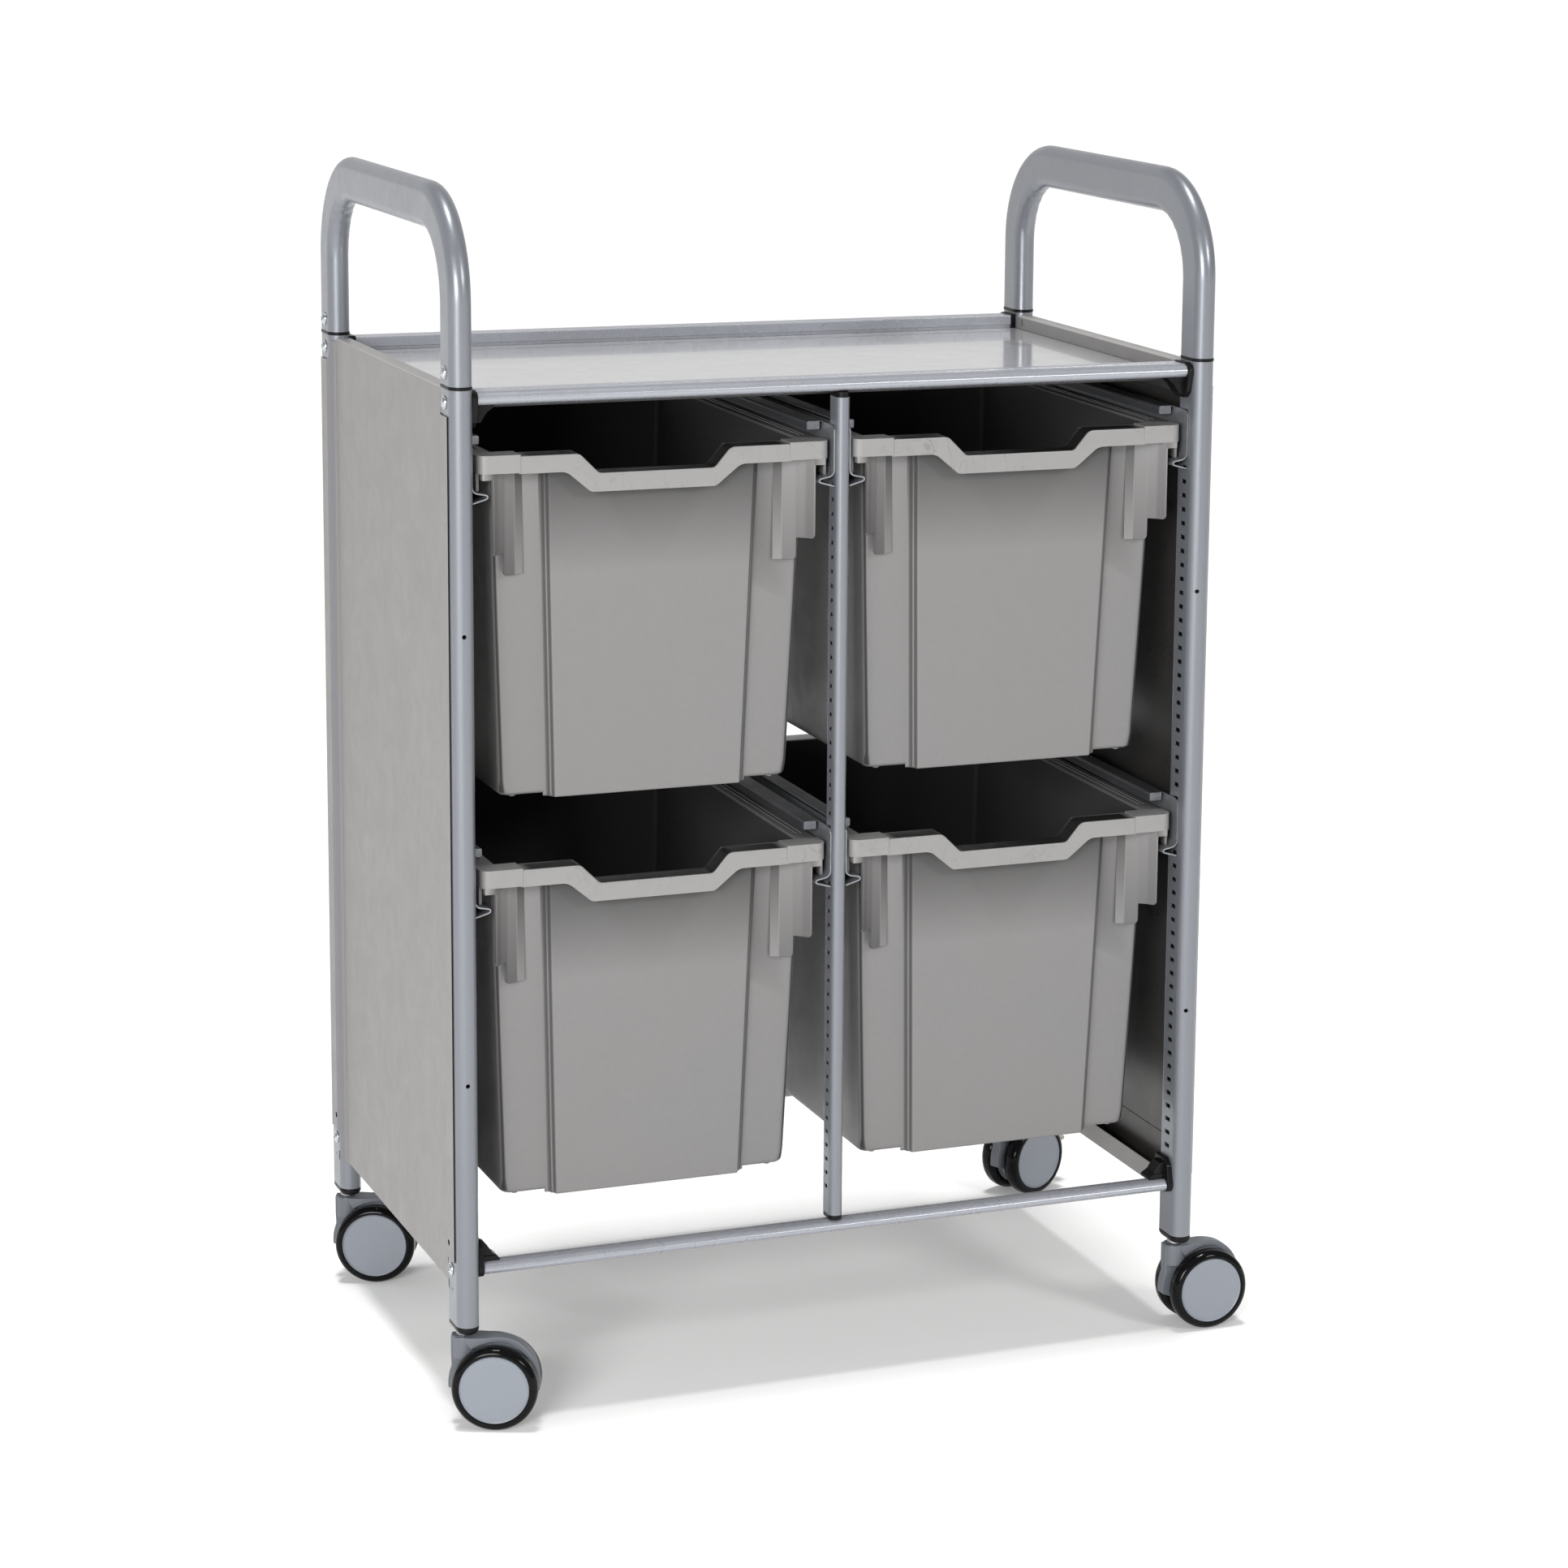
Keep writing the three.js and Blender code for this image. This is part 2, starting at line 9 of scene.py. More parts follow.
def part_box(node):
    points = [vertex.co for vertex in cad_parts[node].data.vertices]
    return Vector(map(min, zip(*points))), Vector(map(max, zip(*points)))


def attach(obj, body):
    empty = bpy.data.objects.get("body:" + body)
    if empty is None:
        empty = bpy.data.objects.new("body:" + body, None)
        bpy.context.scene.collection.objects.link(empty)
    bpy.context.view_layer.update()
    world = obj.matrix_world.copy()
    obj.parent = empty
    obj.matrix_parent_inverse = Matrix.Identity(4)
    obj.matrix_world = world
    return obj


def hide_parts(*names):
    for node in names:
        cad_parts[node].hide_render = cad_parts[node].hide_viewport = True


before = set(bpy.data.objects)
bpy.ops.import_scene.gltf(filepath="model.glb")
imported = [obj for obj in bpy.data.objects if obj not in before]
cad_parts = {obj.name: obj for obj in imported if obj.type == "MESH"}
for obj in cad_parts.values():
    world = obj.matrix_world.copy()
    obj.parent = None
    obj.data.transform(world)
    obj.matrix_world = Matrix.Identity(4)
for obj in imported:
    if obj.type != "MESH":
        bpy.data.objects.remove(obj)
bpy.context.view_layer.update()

# ---------------- places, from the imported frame
first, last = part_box("post_front_left"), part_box("post_back_right")
CX = (first[0].x + first[1].x + last[0].x + last[1].x) / 4 * 1000
CY = (first[0].y + first[1].y + last[0].y + last[1].y) / 4 * 1000
POST_X = (last[0].x + last[1].x - first[0].x - first[1].x) / 4 * 1000
POST_Y = (last[0].y + last[1].y - first[0].y - first[1].y) / 4 * 1000
POST_Z0, POST_Z1 = first[0].z * 1000, first[1].z * 1000
HANDLE_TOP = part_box("handle_left")[1].z * 1000
SHELF_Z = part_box("top_shelf")[1].z * 1000
TRAY_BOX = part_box("tray_upper_left")
RIM_TOP = TRAY_BOX[1].z * 1000
TRAY_X = abs((TRAY_BOX[0].x + TRAY_BOX[1].x) * 500 - CX)
PITCH = RIM_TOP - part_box("tray_lower_left")[1].z * 1000
RAIL_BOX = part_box("top_rail_front")
RAIL_TOP_Z = (RAIL_BOX[0].z + RAIL_BOX[1].z) * 500
RAIL_LOW_Z = sum(p.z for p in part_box("bottom_rail_front")) * 500
RAIL_HALF = (RAIL_BOX[1].x - RAIL_BOX[0].x) * 500
CORNERS = {"front_left": (-1, -1), "front_right": (1, -1), "back_left": (-1, 1), "back_right": (1, 1)}

# ---------------- mesh helpers


def turn(a):
    return math.radians(a)


def new_object(name, data):
    obj = bpy.data.objects.new(name, data)
    bpy.context.scene.collection.objects.link(obj)
    return obj


def fillet(points, radii, closed=False, step=15):
    """The path with each corner rounded to its radius."""
    out = []
    n = len(points)
    if not hasattr(radii, "__len__"):
        radii = [radii] * n
    for i, p in enumerate(points):
        r = radii[i]
        if (not closed and i in (0, n - 1)) or r <= 0:
            out.append(tuple(p))
            continue
        p = Vector(p)
        a = Vector(points[i - 1]) - p
        b = Vector(points[(i + 1) % n]) - p
        la, lb = a.length, b.length
        a.normalize()
        b.normalize()
        half = math.acos(max(-1, min(1, a.dot(b)))) / 2
        if half > turn(89):
            out.append(tuple(p))
            continue
        reach = min(r / math.tan(half), la * 0.49, lb * 0.49)
        r = reach * math.tan(half)
        mid = (a + b).normalized()
        centre = p + mid * (r / math.sin(half))
        s = p + a * reach - centre
        e = p + b * reach - centre
        sweep = math.pi - 2 * half
        steps = max(2, round(math.degrees(sweep) / step))
        for k in range(steps + 1):
            t = k / steps
            v = s * math.sin((1 - t) * sweep) + e * math.sin(t * sweep)
            out.append(tuple(centre + v / math.sin(sweep)))
    return out


def oval(w, d, n=12, cx=0.0, cy=0.0):
    r, c = w / 2, d / 2 - w / 2
    pts = []
    for k, s in ((0, 1), (1, -1)):
        for i in range(n + 1):
            a = math.pi * (k + i / n)
            pts.append((cx + r * math.cos(a), cy + s * c + r * math.sin(a)))
    return pts


def rrect(x0, x1, y0, y1, r, step=15):
    return fillet([(x1, y1), (x0, y1), (x0, y0), (x1, y0)], r, True, step)


def mitred(path, least):
    """Each point of an open path with its normal there, made longer at a bend, but never past 1 / least."""
    for i, q in enumerate(path):
        p = Vector(q)
        a = (p - Vector(path[i - 1])).normalized() if i else None
        b = (Vector(path[i + 1]) - p).normalized() if i < len(path) - 1 else None
        d = ((a or b) + (b or a)).normalized()
        yield q, Vector((-d.y, d.x)) / max(least, d.dot(b or a))


def strip(path, t):
    """Closed outline of a bent sheet of thickness t along an open path."""
    left, right = [], []
    for q, nrm in mitred(path, 0.4):
        left.append(tuple(Vector(q) + nrm * (t / 2)))
        right.append(tuple(Vector(q) + nrm * (-t / 2)))
    return left + right[::-1]


class Part:
    """Gathers closed bodies in mm, then makes one mesh object from them."""

    def __init__(self):
        self.verts, self.faces, self.tags = [], [], []

    def add(self, verts, faces, mat=0):
        base = len(self.verts)
        self.verts += [tuple(v) for v in verts]
        self.faces += [tuple(base + i for i in f) for f in faces]
        self.tags += [mat] * len(faces)
        return self

    def loft(self, rings, mat=0, ring_closed=False):
        """Skins a row of equal rings; its ends are capped unless it runs back into its first ring."""
        n, k = len(rings[0]), len(rings)
        faces = []
        for i in range(k if ring_closed else k - 1):
            for j in range(n):
                a, b = i * n + j, i * n + (j + 1) % n
                c = ((i + 1) % k) * n
                faces.append((a, b, c + (j + 1) % n, c + j))
        if not ring_closed:
            faces += [tuple(range(n))[::-1], tuple(range((k - 1) * n, k * n))]
        return self.add([v for r in rings for v in r], faces, mat)

    def prism(self, outline, axis, a0, a1, mat=0):
        """outline is (y, z) for axis x, (x, z) for y and (x, y) for z."""
        at = {
            "x": lambda p, a: (a, p[0], p[1]),
            "y": lambda p, a: (p[0], a, p[1]),
            "z": lambda p, a: (p[0], p[1], a),
        }[axis]
        return self.loft([[at(p, a0) for p in outline], [at(p, a1) for p in outline]], mat)

    def tube(self, outer, inner, z0, z1):
        """A hollow upright: outer and inner outlines with the same count."""
        rings = []
        for pts, z in ((outer, z0), (outer, z1), (inner, z1), (inner, z0)):
            rings.append([(x, y, z) for x, y in pts])
        return self.loft(rings, ring_closed=True)

    def lathe(self, profile, centre=(0, 0, 0), axis=(0, 0, 1), n=48, mat=0):
        """profile is (radius, along); it is closed on the axis or on itself."""
        axis = Vector(axis).normalized()
        u = axis.orthogonal().normalized()
        v = axis.cross(u)
        c = Vector(centre)
        verts, faces, rows = [], [], []
        for r, h in profile:
            if r < 1e-6:
                rows.append([len(verts)] * n)
                verts.append(tuple(c + axis * h))
            else:
                rows.append(list(range(len(verts), len(verts) + n)))
                for k in range(n):
                    a = 2 * math.pi * k / n
                    verts.append(tuple(c + axis * h + (u * math.cos(a) + v * math.sin(a)) * r))
        for i in range(len(rows) - (0 if profile[0][0] > 1e-6 else 1)):
            p, q = rows[i], rows[(i + 1) % len(rows)]
            for k in range(n):
                f = [p[k], p[(k + 1) % n], q[(k + 1) % n], q[k]]
                f = [x for j, x in enumerate(f) if x != f[j - 1]]
                if len(f) > 2:
                    faces.append(f)
        return self.add(verts, faces, mat)

    def moved(self, matrix):
        self.verts = [tuple(matrix @ Vector(v)) for v in self.verts]
        return self

    def mirrored(self):
        self.verts = [(-x, y, z) for x, y, z in self.verts]
        return self

    def join(self, other):
        base = len(self.verts)
        self.verts += other.verts
        self.faces += [tuple(base + i for i in f) for f in other.faces]
        self.tags += other.tags
        return self

    def object(self, name):
        mesh = bpy.data.meshes.new(name)
        mesh.from_pydata([((x + CX) / 1000, (y + CY) / 1000, z / 1000) for x, y, z in self.verts], [], self.faces)
        mesh.polygons.foreach_set("material_index", self.tags)
        bm = bmesh.new()
        bm.from_mesh(mesh)
        bmesh.ops.remove_doubles(bm, verts=bm.verts, dist=2e-6)
        bmesh.ops.recalc_face_normals(bm, faces=bm.faces)
        bm.to_mesh(mesh)
        bm.free()
        return new_object(name, mesh)


def carve(obj, *cutters, overlapping=False):
    """Cuts each Part out of obj for good; overlapping is for an obj whose own bodies run into each other."""
    for part in cutters:
        tool = part.object(obj.name + "_cut")
        mod = obj.modifiers.new("cut", "BOOLEAN")
        mod.operation, mod.solver, mod.object = "DIFFERENCE", "EXACT", tool
        mod.use_self = overlapping
        bpy.context.view_layer.update()
        done = bpy.data.meshes.new_from_object(obj.evaluated_get(bpy.context.evaluated_depsgraph_get()))
        obj.modifiers.clear()
        obj.data = done
        bpy.data.objects.remove(tool)
    return obj


def finish_piece(obj, body, materials, bevel, nodes=(), segments=2, angle=40):
    mesh = obj.data
    for m in materials:
        mesh.materials.append(m)
    mesh.polygons.foreach_set("use_smooth", [True] * len(mesh.polygons))
    if bevel:
        mod = obj.modifiers.new("edges", "BEVEL")
        mod.width, mod.segments, mod.limit_method = bevel / 1000, segments, "ANGLE"
        mod.angle_limit, mod.use_clamp_overlap, mod.harden_normals = turn(angle), True, True
        mod.miter_outer = "MITER_ARC"
    else:
        mesh.set_sharp_from_angle(angle=turn(angle))
    weigh = obj.modifiers.new("normals", "WEIGHTED_NORMAL")
    weigh.keep_sharp, weigh.weight = True, 80
    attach(obj, body)
    if nodes:
        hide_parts(*nodes)
    return obj


# ---------------- materials


class Nodes:
    """A short way to write a node material."""

    def __init__(self, name):
        self.mat = bpy.data.materials.new(name)
        self.mat.use_nodes = True
        self.tree = self.mat.node_tree
        self.tree.nodes.clear()
        self.out = self.new("ShaderNodeOutputMaterial")
        self.bsdf = self.new("ShaderNodeBsdfPrincipled")
        self.link(self.bsdf.outputs[0], self.out.inputs[0])
        self.coord = self.new("ShaderNodeTexCoord").outputs["Object"]

    def new(self, kind, **props):
        node = self.tree.nodes.new(kind)
        for k, v in props.items():
            setattr(node, k, v)
        return node

    def link(self, a, b):
        self.tree.links.new(a, b)

    def fill(self, socket, value):
        if isinstance(value, bpy.types.NodeSocket):
            self.link(value, socket)
        else:
            socket.default_value = value

    def scaled(self, sx, sy, sz):
        node = self.new("ShaderNodeMapping")
        self.link(self.coord, node.inputs[0])
        node.inputs["Scale"].default_value = (sx, sy, sz)
        return node.outputs[0]

    def noise(self, scale, detail=3.0, rough=0.5, distort=0.0, vector=None):
        node = self.new("ShaderNodeTexNoise")
        self.link(vector or self.coord, node.inputs["Vector"])
        for key, value in (("Scale", scale), ("Detail", detail), ("Roughness", rough), ("Distortion", distort)):
            node.inputs[key].default_value = value
        return node.outputs["Fac"]

    def cells(self, scale):
        node = self.new("ShaderNodeTexVoronoi", feature="F1")
        self.link(self.coord, node.inputs["Vector"])
        node.inputs["Scale"].default_value = scale
        return node.outputs["Distance"]

    def math(self, op, a, b=0.0):
        node = self.new("ShaderNodeMath", operation=op)
        for k, v in enumerate((a, b)):
            self.fill(node.inputs[k], v)
        return node.outputs[0]

    def span(self, fac, lo, hi, a=0.0, b=1.0):
        node = self.new("ShaderNodeMapRange")
        node.clamp = True
        for k, v in zip(("Value", "From Min", "From Max", "To Min", "To Max"), (fac, lo, hi, a, b)):
            self.fill(node.inputs[k], v)
        return node.outputs[0]

    def mix(self, fac, a, b):
        node = self.new("ShaderNodeMix", data_type="RGBA")
        self.fill(node.inputs[0], fac)
        self.fill(node.inputs[6], a if isinstance(a, bpy.types.NodeSocket) else (*a, 1))
        self.fill(node.inputs[7], b if isinstance(b, bpy.types.NodeSocket) else (*b, 1))
        return node.outputs[2]

    def bump(self, height, distance, strength=1.0, under=None):
        node = self.new("ShaderNodeBump")
        node.inputs["Strength"].default_value = strength
        node.inputs["Distance"].default_value = distance
        self.link(height, node.inputs["Height"])
        if under is not None:
            self.link(under, node.inputs["Normal"])
        return node.outputs[0]

    def set(self, **values):
        for k, v in values.items():
            key = k.replace("_", " ")
            self.fill(self.bsdf.inputs[key], (*v, 1) if isinstance(v, tuple) and len(v) == 3 else v)
        return self.mat


def srgb(*rgb):
    return tuple(c / 12.92 if c <= 0.04045 else ((c + 0.055) / 1.055) ** 2.4 for c in (v / 255 for v in rgb))


def scale_rgb(c, k):
    return tuple(min(1.0, v * k) for v in c)


def metallic_paint(name, colour, metal, rough, streak=None, grain=0.10, coat=0.0, lines=0.10, gloss=0.15, orange=0.22):
    """Fine metal flake under a satin coat, with faint handling marks. streak is the scale of a drawn or
    brushed grain and lines its strength; gloss is the coat's roughness; orange is the depth of the peel."""
    m = Nodes(name)
    flake = m.span(m.cells(2600), 0.1, 0.75)
    fine = m.noise(1500, 2.0, 0.6)
    cloud = m.noise(5.0, 4.0, 0.55)
    tone = m.mix(m.span(flake, 0, 1), scale_rgb(colour, 1 - grain), scale_rgb(colour, 1 + grain))
    tone = m.mix(m.span(cloud, 0.3, 0.7, 0.0, 0.30), tone, scale_rgb(colour, 0.95))
    if streak:
        drawn = m.noise(1.0, 4.0, 0.6, vector=m.scaled(*streak))
        tone = m.mix(m.span(drawn, 0.45, 0.75, 0.0, lines), tone, scale_rgb(colour, 1.15))
    rub = m.noise(38, 5.0, 0.65, 0.6)
    roughness = m.math("ADD", m.span(rub, 0.3, 0.75, rough - 0.04, rough + 0.07), m.span(fine, 0, 1, -0.02, 0.02))
    m.set(Base_Color=tone, Metallic=metal, Roughness=roughness, Coat_Weight=coat, Coat_Roughness=gloss)
    if orange:
        m.set(Normal=m.bump(flake, 0.00001, 0.08, m.bump(m.noise(420, 2.0, 0.5), 0.00006, orange)))
    return m.mat


def moulded(name, colour, rough, texture=0.5, scale=900, contrast=0.06, specular=0.5):
    """Moulded plastic: spark-eroded grain, faint flow clouds and slightly uneven gloss."""
    m = Nodes(name)
    grain = m.noise(scale, 3.0, 0.6)
    cloud = m.noise(9, 3.0, 0.5, 0.4)
    tone = m.mix(m.span(grain, 0.3, 0.7), scale_rgb(colour, 1 - contrast), scale_rgb(colour, 1 + contrast))
    tone = m.mix(m.span(cloud, 0.35, 0.7, 0, 0.4), tone, scale_rgb(colour, 1 - contrast))
    scuff = m.noise(60, 6.0, 0.7, 1.0)
    roughness = m.span(scuff, 0.35, 0.75, rough - 0.05, rough + 0.08)
    normal = m.bump(grain, 0.00008, texture)
    return m.set(Base_Color=tone, Roughness=roughness, Normal=normal, Specular_IOR_Level=specular)


SILVER = metallic_paint("silver_metallic_coat", srgb(119, 122, 128), 0.42, 0.34, coat=0.25)
RAIL_METAL = metallic_paint("drawn_aluminium", srgb(150, 152, 159), 0.35, 0.27, (1.2, 60, 60), 0.05,
                            coat=0.2, lines=0.12, gloss=0.25, orange=0.0)
PANEL = metallic_paint("panel_metallic_coat", srgb(131, 129, 128), 0.25, 0.42, (40, 40, 3), 0.06)
# a dark copy of the panel coat for the sheet's inner faces: painted shade, as if the trays and posts shade them
PANEL_INNER_PAINTED_SHADE = metallic_paint("panel_coat_inner_painted_shade", srgb(58, 56, 55), 0.35, 0.30, (3, 90, 1.2), 0.07)
# a darker copy of the panel coat for the joggle's slopes: painted shade
PANEL_FOLD_PAINTED_SHADE = metallic_paint("panel_coat_fold_painted_shade", srgb(122, 121, 125), 0.35, 0.42, (40, 40, 3), 0.07, orange=0.0)
# a lighter copy of the panel coat for the top face: painted light
PANEL_TOP_PAINTED_LIGHT = metallic_paint("panel_coat_top_painted_light", srgb(176, 174, 173), 0.25, 0.40, (40, 3, 40), 0.06)
SHELF = metallic_paint("shelf_metallic_coat", srgb(173, 173, 175), 0.30, 0.16, (2, 55, 1), 0.04,
                       coat=0.5, lines=0.3, gloss=0.05)
# a dark copy of the zinc for the runners' top lip: painted shade
RUNNER_LIP_PAINTED_SHADE = metallic_paint("zinc_lip_painted_shade", srgb(78, 79, 82), 0.4, 0.42, (40, 3, 40), 0.06)
# a dark copy of the shelf coat for every face not facing up: painted shade under the shelf
SHELF_UNDER_PAINTED_SHADE = metallic_paint("shelf_coat_under_painted_shade", srgb(60, 60, 61), 0.3, 0.4, (2, 55, 1), 0.07)
BLACK = moulded("black_moulding", (0.006, 0.006, 0.0065), 0.32, 0.4, 700, 0.25, 0.15)
HOOD = moulded("caster_hood_moulding", srgb(98, 102, 108), 0.42, 0.35, 1100, 0.05)
DISC = moulded("wheel_disc_moulding", srgb(126, 131, 139), 0.40, 0.3, 1000, 0.035)
TREAD = moulded("wheel_tread", (0.004, 0.004, 0.0045), 0.12, 0.06, 300, 0.3, 0.13)
PEDAL = moulded("pedal_moulding", srgb(163, 158, 150), 0.45, 0.4, 900, 0.05)


def zinc_sheet():
    m = Nodes("zinc_plated_sheet")
    spangle = m.noise(70, 4.0, 0.6, 1.5)
    brushed = m.noise(1.0, 3.0, 0.6, vector=m.scaled(900, 12, 900))
    tone = m.mix(m.span(spangle, 0.3, 0.7), srgb(128, 130, 134), srgb(150, 152, 156))
    tone = m.mix(m.span(brushed, 0.3, 0.8, 0, 0.35), tone, srgb(120, 122, 127))
    return m.set(Base_Color=tone, Metallic=0.6, Roughness=m.span(brushed, 0.2, 0.8, 0.36, 0.50),
                 Normal=m.bump(brushed, 0.00004, 0.35))


def bright_screw():
    m = Nodes("bright_screw_steel")
    swirl = m.noise(700, 3.0, 0.6)
    tone = m.mix(m.span(swirl, 0.3, 0.7), srgb(168, 170, 174), srgb(214, 216, 220))
    return m.set(Base_Color=tone, Metallic=0.9, Roughness=m.span(swirl, 0.2, 0.8, 0.18, 0.34),
                 Normal=m.bump(swirl, 0.00005, 0.3))


ZINC = zinc_sheet()
SCREW = bright_screw()


def tray_plastic():
    m = Nodes("tray_moulding")
    base = srgb(118, 117, 117)
    grain = m.noise(1000, 3.0, 0.6)
    mottle = m.noise(170, 4.0, 0.6)
    cloud = m.noise(4.5, 3.0, 0.5, 0.5)
    tone = m.mix(m.span(grain, 0.3, 0.7), scale_rgb(base, 0.95), scale_rgb(base, 1.05))
    tone = m.mix(m.span(mottle, 0.42, 0.7, 0, 0.35), tone, scale_rgb(base, 0.92))
    tone = m.mix(m.span(cloud, 0.35, 0.7, 0, 0.5), tone, srgb(119, 116, 114))
    # the point mask darkens the bin's inner walls and floor, the brim, the webs and the flanks and dulls their gloss:
    # painted shade
    painted_shade = m.new("ShaderNodeAttribute", attribute_name="painted_shade").outputs["Fac"]
    tone = m.mix(painted_shade, tone, scale_rgb(base, 0.3))
    rough = m.span(m.noise(45, 5.0, 0.7, 0.8), 0.3, 0.75, 0.36, 0.5)
    return m.set(Base_Color=tone, Roughness=rough, Normal=m.bump(grain, 0.00009, 0.55),
                 Specular_IOR_Level=m.span(painted_shade, 0.0, 1.0, 0.45, 0.12))


def tray_rim_plastic():
    """The rim's smooth band: a lighter face with the curling flow lines of metallic pigment."""
    m = Nodes("tray_rim_moulding")
    light, dark = srgb(134, 133, 132), srgb(100, 98, 95)
    grain = m.noise(1300, 2.0, 0.6)
    tone = m.mix(m.span(grain, 0.3, 0.7), scale_rgb(light, 0.97), light)
    warp = m.noise(26, 3.0, 0.5, 2.4)
    line = m.math("ABSOLUTE", m.math("SUBTRACT", warp, 0.5))
    vein = m.span(line, 0.0, 0.022, 1.0, 0.0)
    tone = m.mix(m.math("MULTIPLY", vein, m.span(m.noise(14, 2.0), 0.45, 0.65, 0.0, 0.6)), tone, dark)
    wash = m.noise(34, 4.0, 0.6, 1.6)
    tone = m.mix(m.span(wash, 0.45, 0.75, 0.0, 0.45), tone, scale_rgb(light, 0.88))
    rough = m.span(wash, 0.3, 0.7, 0.34, 0.46)
    # the same point mask darkens the brim and the notch's top almost to black and dulls their gloss: painted shade
    painted_shade = m.new("ShaderNodeAttribute", attribute_name="painted_shade").outputs["Fac"]
    tone = m.mix(painted_shade, tone, scale_rgb(light, 0.06))
    return m.set(Base_Color=tone, Roughness=rough, Normal=m.bump(grain, 0.00004, 0.3),
                 Specular_IOR_Level=m.span(painted_shade, 0.0, 1.0, 0.55, 0.15))


TRAY = tray_plastic()
RIM = tray_rim_plastic()

# ---------------- posts, handles, collars, feet
SLOT_PITCH = 12.62
SLOT_TOP = 856.6
TUBE_W, TUBE_D, WALL = 20.0, 40.0, 1.5


def slot_row(x, y, w, h, z_low, deep=6.0):
    """Cutters for the slots down a post, from the top one to z_low."""
    row = Part()
    z = SLOT_TOP
    while z > z_low:
        row.prism(rrect(y - w / 2, y + w / 2, z - h / 2, z + h / 2, 0.7, 45), "x", x - deep, x + deep)
        z -= SLOT_PITCH
    return row


def drill(axis, at, r, deep):
    """Cutter for a round hole at a place."""
    a = {"x": (1, 0, 0), "y": (0, 1, 0)}[axis]
    return Part().lathe([(0, -deep), (r, -deep), (r, deep), (0, deep)], at, a, 20)


FRONT_HOLE_X = {"front_left": -0.5, "front_right": -3.5}
for corner, (sx, sy) in CORNERS.items():
    x, y = sx * POST_X, sy * POST_Y
    bore = oval(TUBE_W - 2 * WALL, TUBE_D - 2 * WALL, 16, x, y)
    post = Part().tube(oval(TUBE_W, TUBE_D, 16, x, y), bore, POST_Z0, POST_Z1).object("post_tube_" + corner)
    cuts = [slot_row(x - sx * TUBE_W / 2, y - sy * 0.6, 10, 4, 150)]
    outer = x + sx * TUBE_W / 2
    holes = Part()
    holes.join(drill("x", (outer, sy * 192.4, 162.1), 2.6, 5))
    holes.join(drill("x", (outer, sy * 198.5, 122.4), 1.1, 5))
    holes.prism(rrect(sy * 187.9 - 1.6, sy * 187.9 + 1.6, 119, 128, 1.4, 30), "x", outer - 5, outer + 5)
    cuts.append(holes)
    if sy < 0:
        front = Part()
        for z in (696.5, 308.0):
            front.join(drill("y", (x + FRONT_HOLE_X[corner], y - TUBE_D / 2, z), 1.9, 5))
        cuts.append(front)
    carve(post, *cuts)
    finish_piece(post, "frame", [SILVER], 0.35, ["post_" + corner])

    ring = Part()
    o = oval(TUBE_W + 1.0, TUBE_D + 1.0, 14, x, y)
    ring.prism(o, "z", POST_Z1 + 0.15, POST_Z1 + 2.75)
    ring.prism(oval(TUBE_W - 4, TUBE_D - 4, 10, x, y), "z", POST_Z1 - 24, POST_Z1 + 27)
    finish_piece(ring.object("collar_" + corner), "frame", [BLACK], 0.5, ["handle_joiner_" + corner])

    foot = Part()
    rings = []
    for inset, z in ((3.4, 85.6), (2.2, 85.0), (0.9, 86.6), (0.0, 88.4), (0.0, 90.4), (0.5, 91.2), (2.2, 91.3),
                     (2.2, 118)):
        rings.append([(px, py, z) for px, py in oval(TUBE_W - 2 * inset, TUBE_D - 2 * inset, 14, x, y)])
    foot.loft(rings)
    foot.lathe([(0, 62), (3.9, 62), (3.9, 79.4), (6.6, 80.4), (6.9, 81.2), (6.9, 86), (0, 86)], (x, y, 0), n=32, mat=1)
    finish_piece(foot.object("foot_" + corner), "frame", [BLACK, SCREW], 0.3, ["post_foot_" + corner])


HANDLE_BEND = 75.0


def handle_stations():
    """Centre line of the handle as (y, z, tangent angle, how far through a bend)."""
    r, top, base = HANDLE_BEND, HANDLE_TOP - TUBE_D / 2, POST_Z1 + 2.9
    arc = [(90 * i / 26, i / 26) for i in range(27)]
    out = [(-POST_Y, base, 90, 0.0), (-POST_Y, base + 6, 90, 0.0)]
    out += [(-POST_Y + r - r * math.cos(turn(a)), top - r + r * math.sin(turn(a)), 90 - a, t) for a, t in arc]
    out += [(y, top, 0, 0.0) for y in (-60, 0, 60)]
    out += [(POST_Y - r + r * math.sin(turn(a)), top - r + r * math.cos(turn(a)), -a, t) for a, t in arc]
    return out + [(POST_Y, base + 6, -90, 0.0), (POST_Y, base, -90, 0.0)]


def handle_ring(x, station, section):
    y, z, ang, t = station
    tang = Vector((0, math.cos(turn(ang)), math.sin(turn(ang))))
    nrm = Vector((0, -tang.z, tang.y))
    crease = 0.55 * math.sin(t * math.pi * 14) * math.sin(t * math.pi) if 0 < t < 1 else 0
    pts = []
    for a, b in section:
        pull = crease * max(0.0, -b / (TUBE_D / 2)) ** 2
        spread = 1 + 0.025 * math.sin(t * math.pi) * (1 if b < 0 else 0.3)
        p = Vector((x + a * spread, y, z)) + nrm * (b + pull)
        pts.append(tuple(p))
    return pts


for side, sx in (("left", -1), ("right", 1)):
    st = handle_stations()
    sec = oval(TUBE_W, TUBE_D, 14)
    inner = oval(TUBE_W - 2 * WALL, TUBE_D - 2 * WALL, 14)
    rings = [handle_ring(sx * POST_X, s, sec) for s in st]
    rings += [handle_ring(sx * POST_X, s, inner) for s in st[::-1]]
    handle = Part().loft(rings, ring_closed=True).object("handle_tube_" + side)
    finish_piece(handle, "frame", [SILVER], 0, ["handle_" + side], angle=50)


